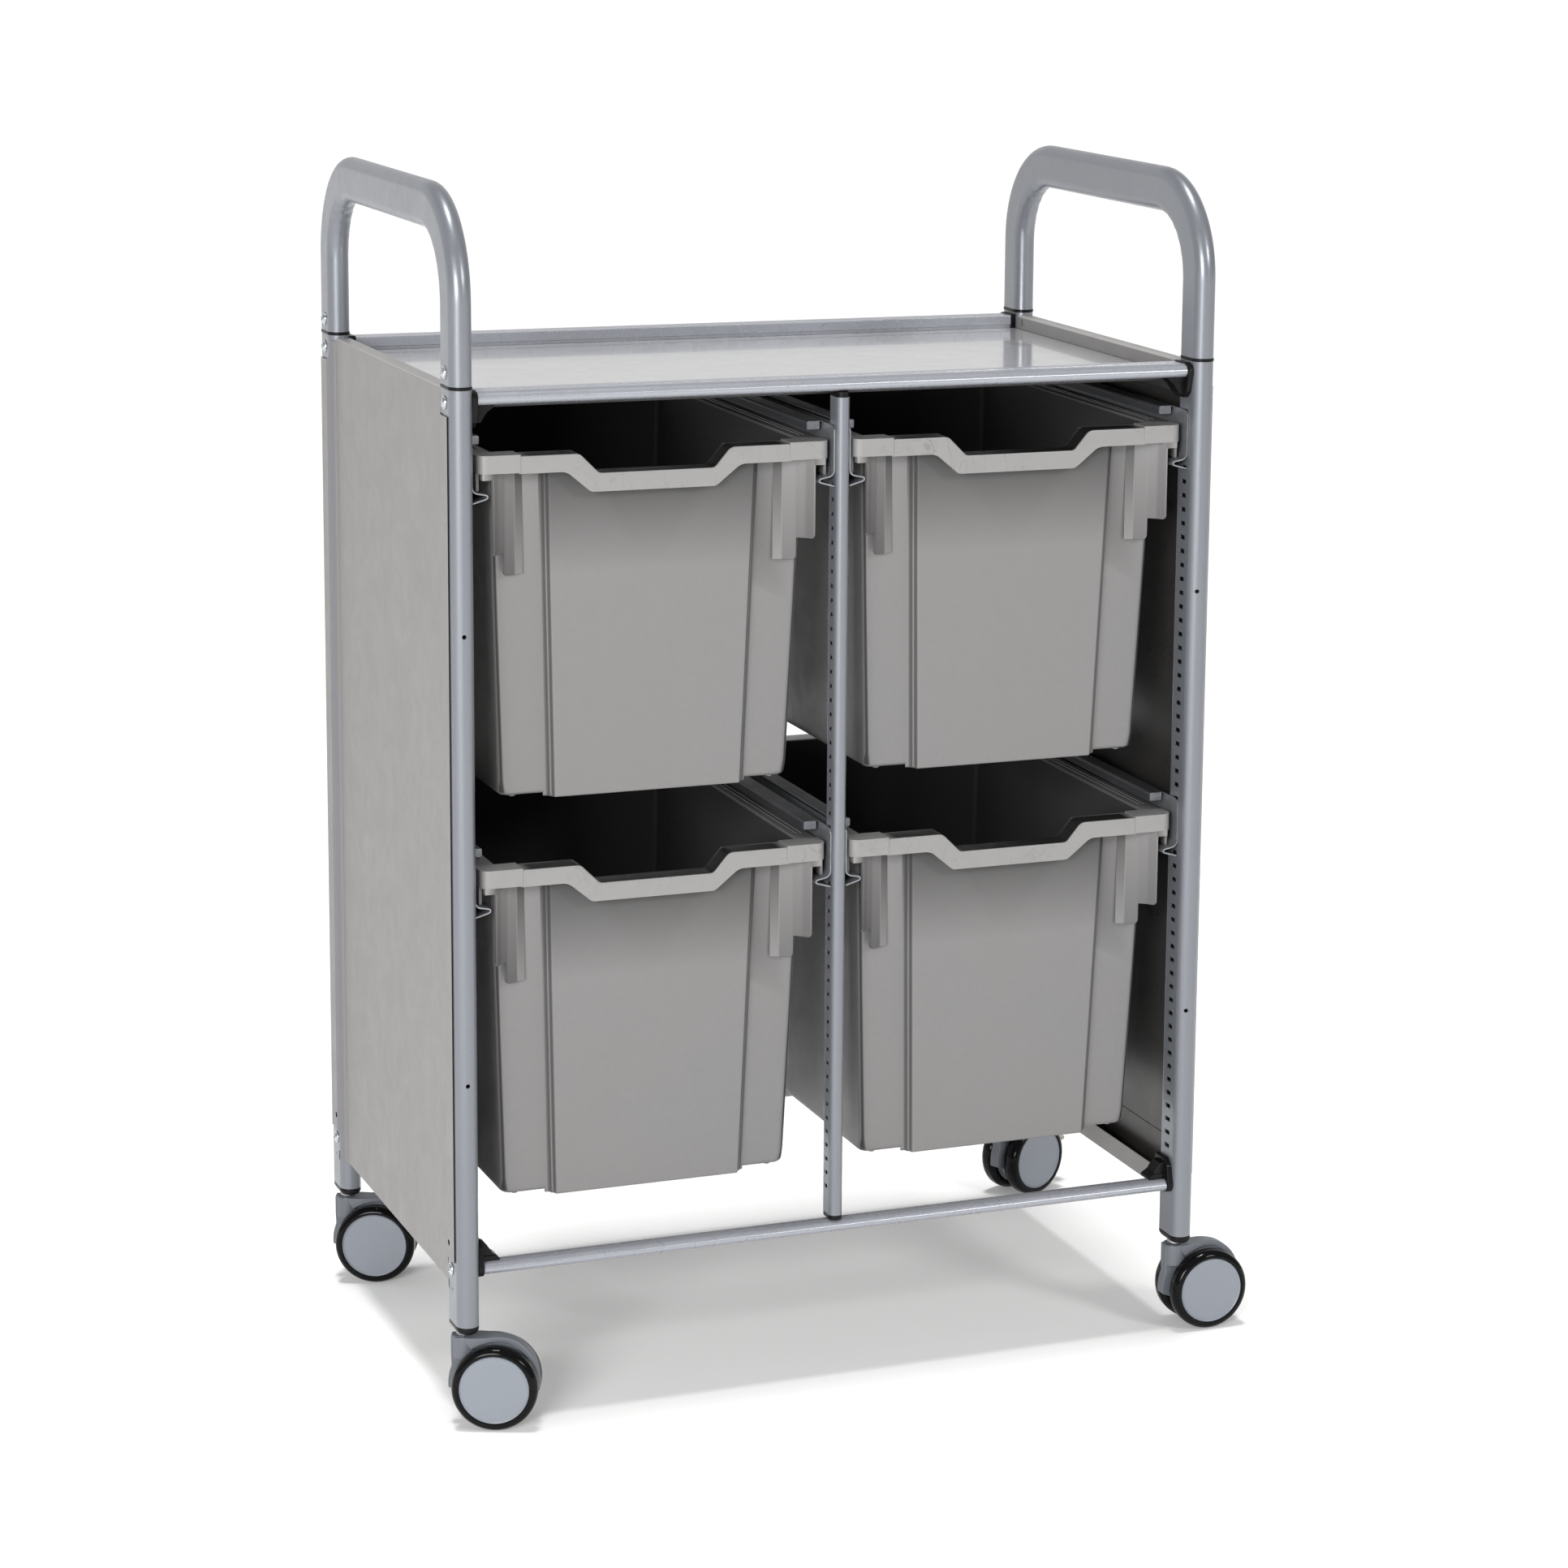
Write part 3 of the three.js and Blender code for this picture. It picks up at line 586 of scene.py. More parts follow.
SCREW_ROWS = ((198.0, 916.0), (198.0, 891.0), (195.8, 139.3))
HEAD = [(0, 3.1), (2.0, 3.0), (3.5, 2.4), (4.3, 1.5), (4.5, 1.1), (5.6, 0.95), (5.8, 0.5), (5.6, 0.1), (5.0, -0.6),
        (0, -0.6)]
for corner, (sx, sy) in CORNERS.items():
    screws, crosses = Part(), Part()
    face = sx * (POST_X + TUBE_W / 2)
    for out, z in SCREW_ROWS:
        y = sy * out
        screws.lathe(HEAD, (face, y, z), (sx, 0, 0), 32)
        plus = []
        for ca, sa in ((1, 0), (0, 1), (-1, 0), (0, -1)):
            plus += [(y + a * ca - b * sa, z + a * sa + b * ca) for a, b in ((0.6, -0.6), (2.3, -0.6), (2.3, 0.6))]
        crosses.prism(plus, "x", face + sx * 1.6, face + sx * 5)
    obj = carve(screws.object("screws_" + corner), crosses)
    finish_piece(obj, "frame", [SCREW], 0.15)

# ---------------- side panels
PANEL_FACE, FLANGE_OUT, FOLD_X, PANEL_Z0, PANEL_Z1, SHEET = 345.5, 351.3, 330.5, 118.0, 900.0, 1.0
SEAM_Z = (173.4, 174.8)


def side_panel(name, sx):
    """Outer face with a fold over the shelf and one at the foot, and a joggled flange along each post."""
    p = Part()
    fold = fillet([(FOLD_X + 0.5, SHELF_Z - 0.2), (FOLD_X + 0.5, PANEL_Z1 - 0.5), (PANEL_FACE - 0.5, PANEL_Z1 - 0.5),
                   (PANEL_FACE - 0.5, PANEL_Z0 + 0.5), (FOLD_X + 0.5, PANEL_Z0 + 11), (FOLD_X + 0.5, PANEL_Z0 + 29)],
                  [0, 1.2, 1.2, 1.5, 2.5, 0])
    p.prism(strip(fold, SHEET), "y", -177.2, 177.2)
    for sy in (-1, 1):
        joggle = fillet([(PANEL_FACE - 0.5, sy * 170), (PANEL_FACE - 0.5, sy * 177.0), (PANEL_FACE + 0.9, sy * 179.4),
                         (FLANGE_OUT - 1.9, sy * 184.0), (FLANGE_OUT - 0.5, sy * 189.6), (FLANGE_OUT - 0.5, sy * 208.6)],
                        [0, 2.0, 1.5, 4.0, 3.0, 0])
        p.prism(strip(joggle, SHEET), "z", PANEL_Z0 + 1.8, PANEL_Z1 - 2.4)
    if sx < 0:
        p.mirrored()
    obj = p.object(name)
    cuts = Part()
    for sy in (-1, 1):
        for z0, z1, rad in ((PANEL_Z1 - 20, PANEL_Z1 + 10, [9, 0, 0, 0]), (PANEL_Z0 - 12, 148.5, [0, 0, 0, 9])):
            out = [(sy * 182.6, z0), (sy * 222, z0), (sy * 222, z1), (sy * 182.6, z1)]
            cuts.prism(fillet(out, rad, True), "x", sx * 346.0, sx * 356)
    slit = Part().prism(rrect(166, 169, 891, 897.5, 1, 45), "x", sx * 326, sx * 334)
    for sy in (-1, 1):
        slit.join(drill("x", (sx * FLANGE_OUT, sy * 192.4, 162.1), 2.6, 3))
    low, high = SEAM_Z
    seam = Part().prism([(-176, low), (176, low), (176, high), (-176, high)], "x", sx * 343.0, sx * 345.0)
    carve(obj, cuts, slit, seam, overlapping=True)
    # the panel coat, its darker copies for painted shade, black for painted shade in gaps, and a lighter copy for
    # painted light on top
    coats = [PANEL, PANEL_INNER_PAINTED_SHADE, PANEL_FOLD_PAINTED_SHADE, BLACK, PANEL_TOP_PAINTED_LIGHT]
    obj = finish_piece(obj, "frame", coats, 0.22, [name.replace("sheet", "panel")])
    for f in obj.data.polygons:
        x, y = abs(f.center.x * 1000 - CX), abs(f.center.y * 1000 - CY)
        # the flange's edge faces take the black moulding: painted shade of the gap against the post
        if x > FLANGE_OUT - SHEET and abs(f.normal.x) < 0.3:
            f.material_index = 3
        # the sheet's inner faces take the dark copy: painted shade
        elif f.normal.x * sx < -0.5 and x > 343:
            f.material_index = 1
        # the top face over the shelf takes the lighter copy: painted light
        elif f.normal.z > 0.5 and f.center.z * 1000 > PANEL_Z1 - 1.5:
            f.material_index = 4
        # the joggle's slopes beside the posts take the darker copy: painted shade
        elif 178.5 < y < 189.8 and f.normal.x * sx > 0 and abs(f.normal.y) > 0.12:
            f.material_index = 2
        # the faces of the seam groove take the black moulding: painted shade in the groove
        elif low - 0.4 < f.center.z * 1000 < high + 0.2 and 343 < x < 345.2 and y < 177:
            f.material_index = 3
    return obj


side_panel("side_sheet_left", -1)
side_panel("side_sheet_right", 1)

# ---------------- shelf
EDGE = POST_X - TUBE_W / 2 + 0.1
shelf_path = [(side * (EDGE - 0.5), SHELF_Z - drop) for side, drop in ((-1, 16), (-1, 0.5), (1, 0.5), (1, 16))]
shelf = Part().prism(strip(fillet(shelf_path, 0.9), SHEET), "y", -181.7, 181.7)
for sy in (-1, 1):
    lip = fillet([(sy * 181.0, SHELF_Z - 4.5), (sy * 181.0, SHELF_Z - 1.0), (sy * 172, SHELF_Z - 1.0)], 1.2)
    shelf.prism(strip(lip, SHEET), "x", -EDGE + 2, EDGE - 2)
pan = finish_piece(shelf.object("shelf_pan"), "frame", [SHELF, SHELF_UNDER_PAINTED_SHADE], 0.3, ["top_shelf"])
# faces not facing up take the dark copy: painted shade
for f in pan.data.polygons:
    if f.normal.z < 0.5:
        f.material_index = 1

# ---------------- rails and brackets
LOW_RAIL_DROP = 4.0
NOSE = [(-203.2, 6.0), (-208.4, 4.4), (-210.9, 1.0), (-210.9, -1.4), (-208.6, -4.5), (-203.6, -6.0)]
NOSE_R = [5, 4, 2.2, 2.2, 4, 4]
RAIL_PROFILES = {
    "top": fillet([(-186, -6), (-186, -7.4), (-183.4, -7.4), (-183.4, -3.2), (-182, -3.0), (-182, 6), (-192.4, 6),
                   (-192.9, 3.9), (-194.3, 3.9), (-194.8, 5.9)] + NOSE,
                  [0, 0, 0.4, 0, 0.3, 0.7, 0.5, 0.2, 0.2, 0.9] + NOSE_R, True),
    "bottom": fillet([(-183, -5.4), (-183, -0.4), (-196, 1.2), (-197, 5.4), (-198.6, 6.0)] + NOSE,
                     [0.8, 0.8, 0.4, 0.6, 0.5] + NOSE_R, True),
}


def rail(name, z, sy):
    """A drawn rail; its profile is (y, height) for the front one, with the round nose outward."""
    pts = [(y * -sy, z + h) for y, h in RAIL_PROFILES[name.split("_")[0]]]
    p = Part().prism(pts, "x", -RAIL_HALF, RAIL_HALF)
    return finish_piece(p.object(name + "_bar"), "frame", [RAIL_METAL], 0.35, [name])


def bracket(name, z, sx, sy, flip):
    """End cap of a rail against its post; flip turns the bottom ones upside down."""
    f = -1 if flip else 1
    p = Part()
    x0, x1 = RAIL_HALF + 0.3, EDGE + 0.2
    outline = fillet([(-183, -24.5), (-202.5, -24.5), (-208.5, -19.0), (-212.3, -3.0), (-212.6, 1.0), (-210.2, 5.4),
                      (-204, 7.2), (-183, 7.2)], [0.8, 4, 5, 2, 2, 3, 3, 0.8], True)
    p.prism([(y * -sy, z + f * h) for y, h in outline], "x", sx * x0, sx * x1)
    # a solid gusset beside the plate that slopes down to the rail, with a lower step on its nose
    gusset = [(x1, -20.8), (x0 - 4.3, -20.5), (x0 - 9.9, -12.1), (x0 - 14.0, -9.2), (x0 - 15.2, -7.6),
              (x0 - 15.2, -5.4), (x1, -5.4)]
    step = [(x1, -10.2), (x0 - 12.0, -10.2), (x0 - 15.8, -7.4), (x0 - 16.0, -5.2), (x1, -5.2)]
    for side, y0, y1 in ((gusset, 187.0, 203.5), (step, 186.0, 204.8)):
        p.prism([(sx * a, z + f * h) for a, h in fillet(side, 0.7, True)], "y", sy * y0, sy * y1)
    return finish_piece(p.object(name + "_cap"), "frame", [BLACK], 0.45, [name])


for level, z, flip in (("top", RAIL_TOP_Z, False), ("bottom", RAIL_LOW_Z - LOW_RAIL_DROP, True)):
    for face, sy in (("front", -1), ("back", 1)):
        rail(f"{level}_rail_{face}", z, sy)
        for side, sx in (("left", -1), ("right", 1)):
            bracket(f"{level}_bracket_{face}_{side}", z, sx, sy, flip)

# ---------------- centre posts and plugs
CENTRE_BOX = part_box("centre_post_front")
CW, CD, CWALL = 12.6, (CENTRE_BOX[1].y - CENTRE_BOX[0].y) * 1000, 1.3
CENTRE_Z0, CENTRE_Z1 = CENTRE_BOX[0].z * 1000, CENTRE_BOX[1].z * 1000
for face, sy in (("front", -1), ("back", 1)):
    y = sy * POST_Y
    tube = Part().tube(oval(CW, CD, 12, 0, y), oval(CW - 2 * CWALL, CD - 2 * CWALL, 12, 0, y), CENTRE_Z0, CENTRE_Z1)
    obj = tube.object("centre_tube_" + face)
    carve(obj, slot_row(-CW / 2, y - sy * 0.4, 7, 3.4, 170, 3), slot_row(CW / 2, y - sy * 0.4, 7, 3.4, 170, 3))
    finish_piece(obj, "frame", [SILVER], 0.3, ["centre_post_" + face])
    plug = Part()
    for inset, z0, z1 in ((1.8, CENTRE_Z1 - 12, CENTRE_Z1 + 0.5), (0.7, CENTRE_Z1 + 0.2, RAIL_TOP_Z - 6.2),
                          (0.2, RAIL_LOW_Z + 6.2 - LOW_RAIL_DROP, CENTRE_Z0 + 0.1), (1.8, CENTRE_Z0, CENTRE_Z0 + 12)):
        plug.prism(oval(CW - 2 * inset, CD - 2 * inset, 12, 0, y), "z", z0, z1)
    finish_piece(plug.object("centre_plugs_" + face), "frame", [BLACK], 0.3, ["centre_plug_" + face])

# ---------------- runners
RUN_T = 1.2


def runner(name, x, sx, drop):
    """sx is +1 where the web lies against a face on its right."""
    p = Part()
    web = -sx * (0.3 + RUN_T / 2)
    path = fillet([(0, 858.4), (0, 815.0), (-13.4, 812.5), (-13.4, 809.7), (0.1, 805.8)], [0, 6, 2.0, 2.0, 0], step=12)
    tail = [(197, 0), (200, -0.4), (202.6, -1.6), (204.2, -3.6), (205, -6.0)]
    rings = []
    for y, dip in [(-y, dip) for y, dip in tail[::-1]] + tail:
        line = [(0, 858.4 + dip)] + path[1:]
        rings.append([(x + web + a * sx, y, h - drop) for a, h in strip(line, RUN_T)])
    p.loft(rings)
    lip = fillet([(0, 856.0), (0, 858.4), (-14.0, 858.4), (-14.0, 851.2)], [0, 1.0, 1.6, 0])
    # the lip takes the dark copy in slot 1: painted shade
    p.prism([(x + web + a * sx, h - drop) for a, h in strip(lip, RUN_T)], "y", -175, 175, 1)
    tab = rrect(-14.4, -3.0, 851.6, 858.8, 1.2)
    p.prism([(x + web + a * sx, h - drop) for a, h in tab], "y", -176.4, -175.0)
    for y in (-197.9, 197.9):
        p.prism(rrect(y - 4, y + 4, 843.0 - drop, 846.0 - drop, 0.8), "x", x + web, x + web + sx * 2.6)
    return finish_piece(p.object(name + "_strip"), "frame", [ZINC, RUNNER_LIP_PAINTED_SHADE], 0.2, [name])


RUNNERS = (("outer_left", -POST_X + TUBE_W / 2, -1), ("inner_left", -CW / 2, 1),
           ("inner_right", CW / 2, -1), ("outer_right", POST_X - TUBE_W / 2, 1))
for level, drop in (("upper", 0.0), ("lower", PITCH)):
    for spot, x, sx in RUNNERS:
        runner(f"runner_{level}_{spot}", x, sx, drop)

# ---------------- trays
RIM_HALF, RIM_FRONT, FLOOR_Z = 156.0, -205.4, 547.0
BAND_TOP, BAND_FRONT = RIM_TOP - 1.2, -204.7
NOTCH_Z, BAND_LOW = 827.3, 829
WALL_SIDE, WALL_FRONT, WALL_BACK, DRAFT, SIDE_DRAFT = 130.4, -172.6, 191, 11.0, 10.6
PANEL_HALF, PANEL_DRAFT = 83.0, 8.6
NOTCH = [(-68.2, BAND_TOP), (-50.8, NOTCH_Z), (51.8, NOTCH_Z), (66.3, BAND_TOP)]
TOP_LINE = fillet([(-150, BAND_TOP)] + NOTCH + [(150, BAND_TOP)], [0, 9, 6, 6, 9, 0], step=9)
LOW_LINE = fillet([(-150, BAND_LOW), (-79.5, BAND_LOW), (-58, 811), (53, 811), (75.5, BAND_LOW), (150, BAND_LOW)],
                  [0, 13, 7, 7, 13, 0], step=9)


def on_line(line, x):
    """Height of a line of (x, z) points at x."""
    for (xa, za), (xb, zb) in zip(line, line[1:]):
        if xa <= x <= xb:
            return za + (zb - za) * (x - xa) / max(1e-9, xb - xa)
    return line[0][1] if x < line[0][0] else line[-1][1]


def tray_band():
    """The front grip: rim top, front face and the wall behind it, dipping round the hand notch."""
    xs = sorted({round(v, 2) for v in [-121, 121] + [p[0] for p in TOP_LINE + LOW_LINE if abs(p[0]) < 121]
                 + [k * 8.0 for k in range(-15, 16)]})
    rings = []
    for x in xs:
        t, b = on_line(TOP_LINE, x), on_line(LOW_LINE, x)
        front, back = BAND_FRONT, BAND_FRONT + 2.5
        sec = [(front, b + 1.0), (front + 0.3, b + 0.3), (front + 1.0, b), (front + 2.3, b), (back, b + 0.4),
               (back, t - 2.6), (-187.5, t - 2.6), (-185.5, t - 5.0), (-184.6, t - 9.0), (-182.4, t - 9.0),
               (-182.8, t - 2.0), (-183.4, t - 0.6), (-184.8, t), (front + 1.8, t), (front + 0.6, t - 0.5),
               (front, t - 1.8)]
        rings.append([(x, y, z) for y, z in sec])
    return Part().loft(rings, 1)


def rise(z):
    """How far up the bin's wall a height is: 0 at the floor, 1 at the band's top."""
    return (z - FLOOR_Z) / (BAND_TOP - FLOOR_Z)


def wall_ring(z, out, r):
    """Outline of the bin at a height; out moves it outward from the outer face."""
    k = rise(z)
    hx, y0, y1 = WALL_SIDE + SIDE_DRAFT * k, WALL_FRONT - DRAFT * k, WALL_BACK + DRAFT * k
    return [(x, y, z) for x, y in rrect(-hx - out, hx + out, y0 - out, y1 + out, r, 11.25)]


def tray_body():
    """The bin: up the outside, over the rim and down the inner wall to the floor."""
    t = 2.5
    zt = RIM_TOP - 2.4
    foot = ((0, 5.0, 5), (0.5, 2.6, 7), (1.6, 1.0, 8.4), (3.4, 0.2, 9), (7, 0, 8.4), (14, 0, 7))
    rings = [wall_ring(FLOOR_Z + h, -o, r) for h, o, r in foot]
    rings += [wall_ring(700, 0, 6), wall_ring(zt - 5, 0, 6.5), wall_ring(zt, 0.6, 7), wall_ring(RIM_TOP - 1.4, -1.6, 6),
              wall_ring(RIM_TOP - 1.6, 0.2 - t, 4.8), wall_ring(RIM_TOP - 3, -t, 4.6), wall_ring(700, -t, 4)]
    rings += [wall_ring(FLOOR_Z + h, -o, r) for h, o, r in ((8, t, 4), (4.4, t + 1.4, 4), (2.6, t + 5, 3))]
    return Part().loft(rings)


def rim_frame():
    """Side and back rim with its skirt, as a U-shaped channel round the bin's top."""
    x0, xs = 137.6, RIM_HALF
    zt = RIM_TOP - 0.6
    prof = [(x0, zt - 2.2), (x0, zt - 0.5), (x0 + 0.8, zt), (xs - 1.8, zt), (xs - 0.6, zt - 0.5), (xs, zt - 1.8),
            (xs, 815.4), (xs - 0.4, 814.8), (xs - 2.1, 814.8), (xs - 2.5, 815.4), (xs - 2.5, zt - 3.6),
            (xs - 3.5, zt - 2.6), (x0 + 3, zt - 2.6)]
    prof_out = [(a - x0, z) for a, z in prof]
    line = fillet([(-x0, -196), (-x0, 198.2), (x0, 198.2), (x0, -196)], [0, 9, 9, 0], step=11.25)
    rings = []
    for q, nrm in mitred(line, 0.5):
        # the back rim is wider than the side rims
        gx, gy = (1.27 if abs(nrm.y) > 0.99 else 1.0), 1.0 + 0.27 * abs(nrm.y)
        rings.append([(q[0] + nrm.x * o * gx, q[1] + nrm.y * o * gy, z) for o, z in prof_out])
    p = Part().loft(rings, 0)
    # long ribs along the side rims
    for sx in (-1, 1):
        for xo in (144.5, 149.0):
            rib = [(sx * (xo + dx), zt + dz) for dx, dz in ((-0.6, -0.4), (-0.35, 0.55), (0.35, 0.55), (0.6, -0.4))]
            p.prism(fillet(rib, 0.2, True), "y", -160, 200)
    return p


def corner_cap(sx):
    """Raised block at a front corner: top and front skin, rounded at the outer corner."""
    inner = 119.6
    p = Part()
    outer = RIM_HALF + 0.25  # just past the skirt, so their faces don't coincide
    out = fillet([(inner, -182), (inner, RIM_FRONT), (outer, RIM_FRONT), (outer, -182)], [0, 0.5, 9, 0], True, 11)
    p.prism([(sx * a, b) for a, b in out], "z", 830.2, RIM_TOP, 1)
    block = rrect(RIM_HALF - 13.5, RIM_HALF - 3.2, RIM_FRONT + 1.2, RIM_FRONT + 9, 1.2)
    p.prism([(sx * a, b) for a, b in block], "z", 824.8, 831, 1)
    return p


WEB_LOW, WEB_STEP = 741, 760.5


def corner_webs(sx):
    """Stepped plate from the front wall outward to a corner of the rim."""
    path = fillet([(112.5, -181.6), (121, -185.0), (130, -189.6), (138, -195.6), (143.4, -202.4)],
                  [0, 8, 12, 8, 0], step=6)
    cum = [0.0]
    for a, b in zip(path, path[1:]):
        cum.append(cum[-1] + math.dist(a, b))
    total = cum[-1]

    def at(s):
        for i in range(len(path) - 1):
            if s <= cum[i + 1] + 1e-9:
                f = (s - cum[i]) / (cum[i + 1] - cum[i])
                q = Vector(path[i]).lerp(Vector(path[i + 1]), f)
                d = (Vector(path[i + 1]) - Vector(path[i])).normalized()
                return q, Vector((-d.y, d.x))
        return Vector(path[-1]), Vector((0, 1))

    split = total * 0.545
    edge = fillet([(0, WEB_LOW), (split, WEB_LOW), (split, WEB_STEP), (total, WEB_STEP), (total, 846)],
                  [0, 4.2, 1.2, 2.6, 0])
    stops = [total * i / 26 for i in range(27)] + [q[0] for q in edge] + [split - 0.01, split + 0.01]

    def low(s):
        near = [z for sa, z in edge if abs(sa - s) < 0.011]
        if near:
            return min(near)
        for (sa, za), (sb, zb) in zip(edge, edge[1:]):
            if sa < s < sb:
                return za + (zb - za) * (s - sa) / (sb - sa)
        return WEB_STEP

    rings = []
    for s in sorted({round(v, 3) for v in stops}):
        q, nrm = at(s)
        z0, z1 = WEB_LOW if s < 1 else low(s), RIM_TOP - 2.5
        a, b = q + nrm * 1.25, q - nrm * 1.25
        section = ((a, z1), (a, z0 + 0.5), (q + nrm * 0.75, z0), (q - nrm * 0.75, z0), (b, z0 + 0.5), (b, z1))
        rings.append([(sx * v.x, v.y, z) for v, z in section])
    return Part().loft(rings)


def front_panel():
    """The raised front, 8.5 mm proud, with a stepped flank on each side."""
    p = Part()
    flank = [(0.0, 8.5), (0.6, 8.1), (1.2, 7.0), (1.7, 5.2), (2.3, 4.5), (3.2, 4.2), (3.9, 3.6), (4.4, 2.2), (5.2, 0.9),
             (6.9, 0.15), (8.4, -1.2)]
    rings = []
    for z, grow in ((544.8, -1.6), (545.1, -0.7), (546.0, -0.15), (547.4, 0.0), (640, 0), (740, 0), (836, 0)):
        k = rise(z)
        y = WALL_FRONT - DRAFT * k
        half = PANEL_HALF + PANEL_DRAFT * k
        shrink = 1 if grow > -0.5 else 0.9
        left = [(-half - e * shrink, y - max(-1.2, d + grow)) for e, d in flank[::-1]]
        right = [(half + e * shrink, y - max(-1.2, d + grow)) for e, d in flank]
        mid = [(x, y - (8.5 + grow)) for x in (-half + 1.2, 0, half - 1.2)]
        rings.append([(a, b, z) for a, b in left + mid + right] + [(half + 8.4, y + 2, z), (-half - 8.4, y + 2, z)])
    p.loft(rings)
    # the little feet under the corners
    for sx in (-1, 1):
        for y in (-164, 180):
            p.lathe([(0, 545.4), (2.6, 545.4), (3.2, 546.2), (3.2, 549), (0, 549)], (sx * 117, y, 0), n=20)
    return p


def tray(name, cx, drop):
    """One tray. Its point mask of painted shade darkens the bin's inner walls and floor, the brim, the webs and the
    flanks.
    """
    notch_top = fillet([(-68.2, BAND_TOP + 20)] + NOTCH + [(66.3, BAND_TOP + 20)], [0, 0, 6, 6, 0, 0], step=9)
    whole = Part()
    for piece in (tray_body(), front_panel()):
        obj = carve(piece.object(name + "_blank"), Part().prism([(a, b - 0.8) for a, b in notch_top], "y", -210, -176))
        whole.add([(v.co.x * 1000 - CX, v.co.y * 1000 - CY, v.co.z * 1000) for v in obj.data.vertices],
                  [tuple(f.vertices) for f in obj.data.polygons])
        bpy.data.objects.remove(obj)
    for piece in (tray_band(), rim_frame(), corner_cap(-1), corner_cap(1), corner_webs(-1), corner_webs(1)):
        whole.join(piece)
    made = whole.moved(Matrix.Translation((cx, 0, -drop))).object(name + "_moulding")
    # a point mask of painted shade: full inside the bin and on the brim, partial on the flanks and webs
    shade = made.data.attributes.new("painted_shade", "FLOAT", "POINT")
    for v in made.data.vertices:
        x, y, z = v.co.x * 1000 - CX - cx, v.co.y * 1000 - CY, v.co.z * 1000 + drop
        k = rise(z)
        within = (abs(x) < WALL_SIDE - 1.2 + SIDE_DRAFT * k and z > FLOOR_Z + 1.9
                  and WALL_FRONT + 1.0 - DRAFT * k < y < WALL_BACK - 1.2 + DRAFT * k)
        aside = abs(abs(x) - PANEL_HALF - PANEL_DRAFT * k - 3.4)
        proud = WALL_FRONT - DRAFT * k - y
        # painted shade on the front panel's flanks, the brim round the notch and the corner webs, the left webs darker
        # as if lit from the left
        flank = 0.65 if aside < 2.6 and 0.3 < proud < 8.2 and not 4.1 < proud < 4.4 else 0.0
        brim = 1.0 if -203.8 < y < -181.5 and abs(x) < 119 and z > on_line(TOP_LINE, x) - 9.2 else 0.0
        web = (0.64 if x < 0 else 0.5) if 119.5 < abs(x) < 146 and -204.2 < y < -184.2 and z < 838 else 0.0
        shade.data[v.index].value = 1.0 if within and z < RIM_TOP - 2.5 else max(flank, brim, web)
    return finish_piece(made, name, [TRAY, RIM], 0.45, [name], angle=42)


for level, drop in (("upper", 0.0), ("lower", PITCH)):
    for side, sx in (("left", -1), ("right", 1)):
        tray(f"tray_{level}_{side}", sx * TRAY_X, drop)

# ---------------- casters
WHEEL_R, TRAIL = 37.5, 28.0
AXLE = (TRAIL, 0, WHEEL_R), (0, 1, 0)
HOOD_TAIL_R, HOOD_TOP_R = 37.7, 42.8
PEDAL_Z0, PEDAL_Z1 = 41.2, 47.6


def caster_frame(corner):
    """The caster's own axes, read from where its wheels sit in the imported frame."""
    sx, sy = CORNERS[corner]
    a, b = (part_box(f"caster_{corner}_wheel_{w}") for w in "ab")
    mid = (a[0] + a[1] + b[0] + b[1]) / 4 * 1000
    px, py = sx * POST_X, sy * POST_Y
    yaw = math.atan2(mid.y - CY - py, mid.x - CX - px)
    return Matrix.Translation((px, py, 0)) @ Matrix.Rotation(yaw, 4, "Z")


def about_axle(r, a):
    """(x, z) at a radius and an angle from the wheels' axle."""
    return TRAIL + r * math.cos(turn(a)), WHEEL_R + r * math.sin(turn(a))


def arc_points(r, a0, a1, n):
    return [about_axle(r, a0 + (a1 - a0) * i / n) for i in range(n + 1)]


def hood_radius(a):
    """Outer radius of the hood at an angle; it tucks in towards the trailing end."""
    t = max(0.0, min(1.0, a / 75))
    return HOOD_TAIL_R + (HOOD_TOP_R - HOOD_TAIL_R) * t * t * (3 - 2 * t)


def caster_housing():
    """Web between the wheels, hood over them, socket of the stem, and the axle."""
    p = Part()
    fin = [about_axle(hood_radius(a) - 0.7, a) for a in range(-4, 100, 4)]
    fin += [(13, 80.0), (-11, 80.0), (-11, 64)] + arc_points(41.6, 158, 186, 6) + arc_points(29, 200, 340, 16)
    p.prism(fin, "y", -5.4, 5.4)
    # hood: an arched rib over the tread line, wider at the swivel end
    rings = []
    for i in range(33):
        a = -6 + 130 * i / 32
        grow = max(0.0, min(1.0, (a - 68) / 46))
        w = 6.2 + 4.4 * grow * grow * (3 - 2 * grow)
        top = max(hood_radius(a), 42.3 / math.sin(turn(a))) if a > 92 else hood_radius(a)
        foot = min(top - 5.2, 38.3) if a < 68 else 38.3
        outline = ((top, 1.3 - w), (top - 0.5, 0.3 - w), (top - 1.4, -w), (foot, -w), (foot, w), (top - 1.4, w),
                   (top - 0.5, w - 0.3), (top, w - 1.3))
        rings.append([(about_axle(r, a)[0], y, about_axle(r, a)[1]) for r, y in outline])
    p.loft(rings)
    prof = [(4.3, 60), (10.2, 60), (11, 61), (11, 78.6), (10.2, 79.8), (9.4, 80.2), (8.6, 79.8), (8.2, 78.8), (4.3, 78.8)]
    p.lathe(prof, n=36)
    p.lathe([(0, -5.8), (15, -5.8), (16, -4.8), (16, 4.8), (15, 5.8), (0, 5.8)], *AXLE, 36)
    p.lathe([(0, -19.5), (3.9, -19.5), (3.9, 19.5), (0, 19.5)], *AXLE, 20)
    return p


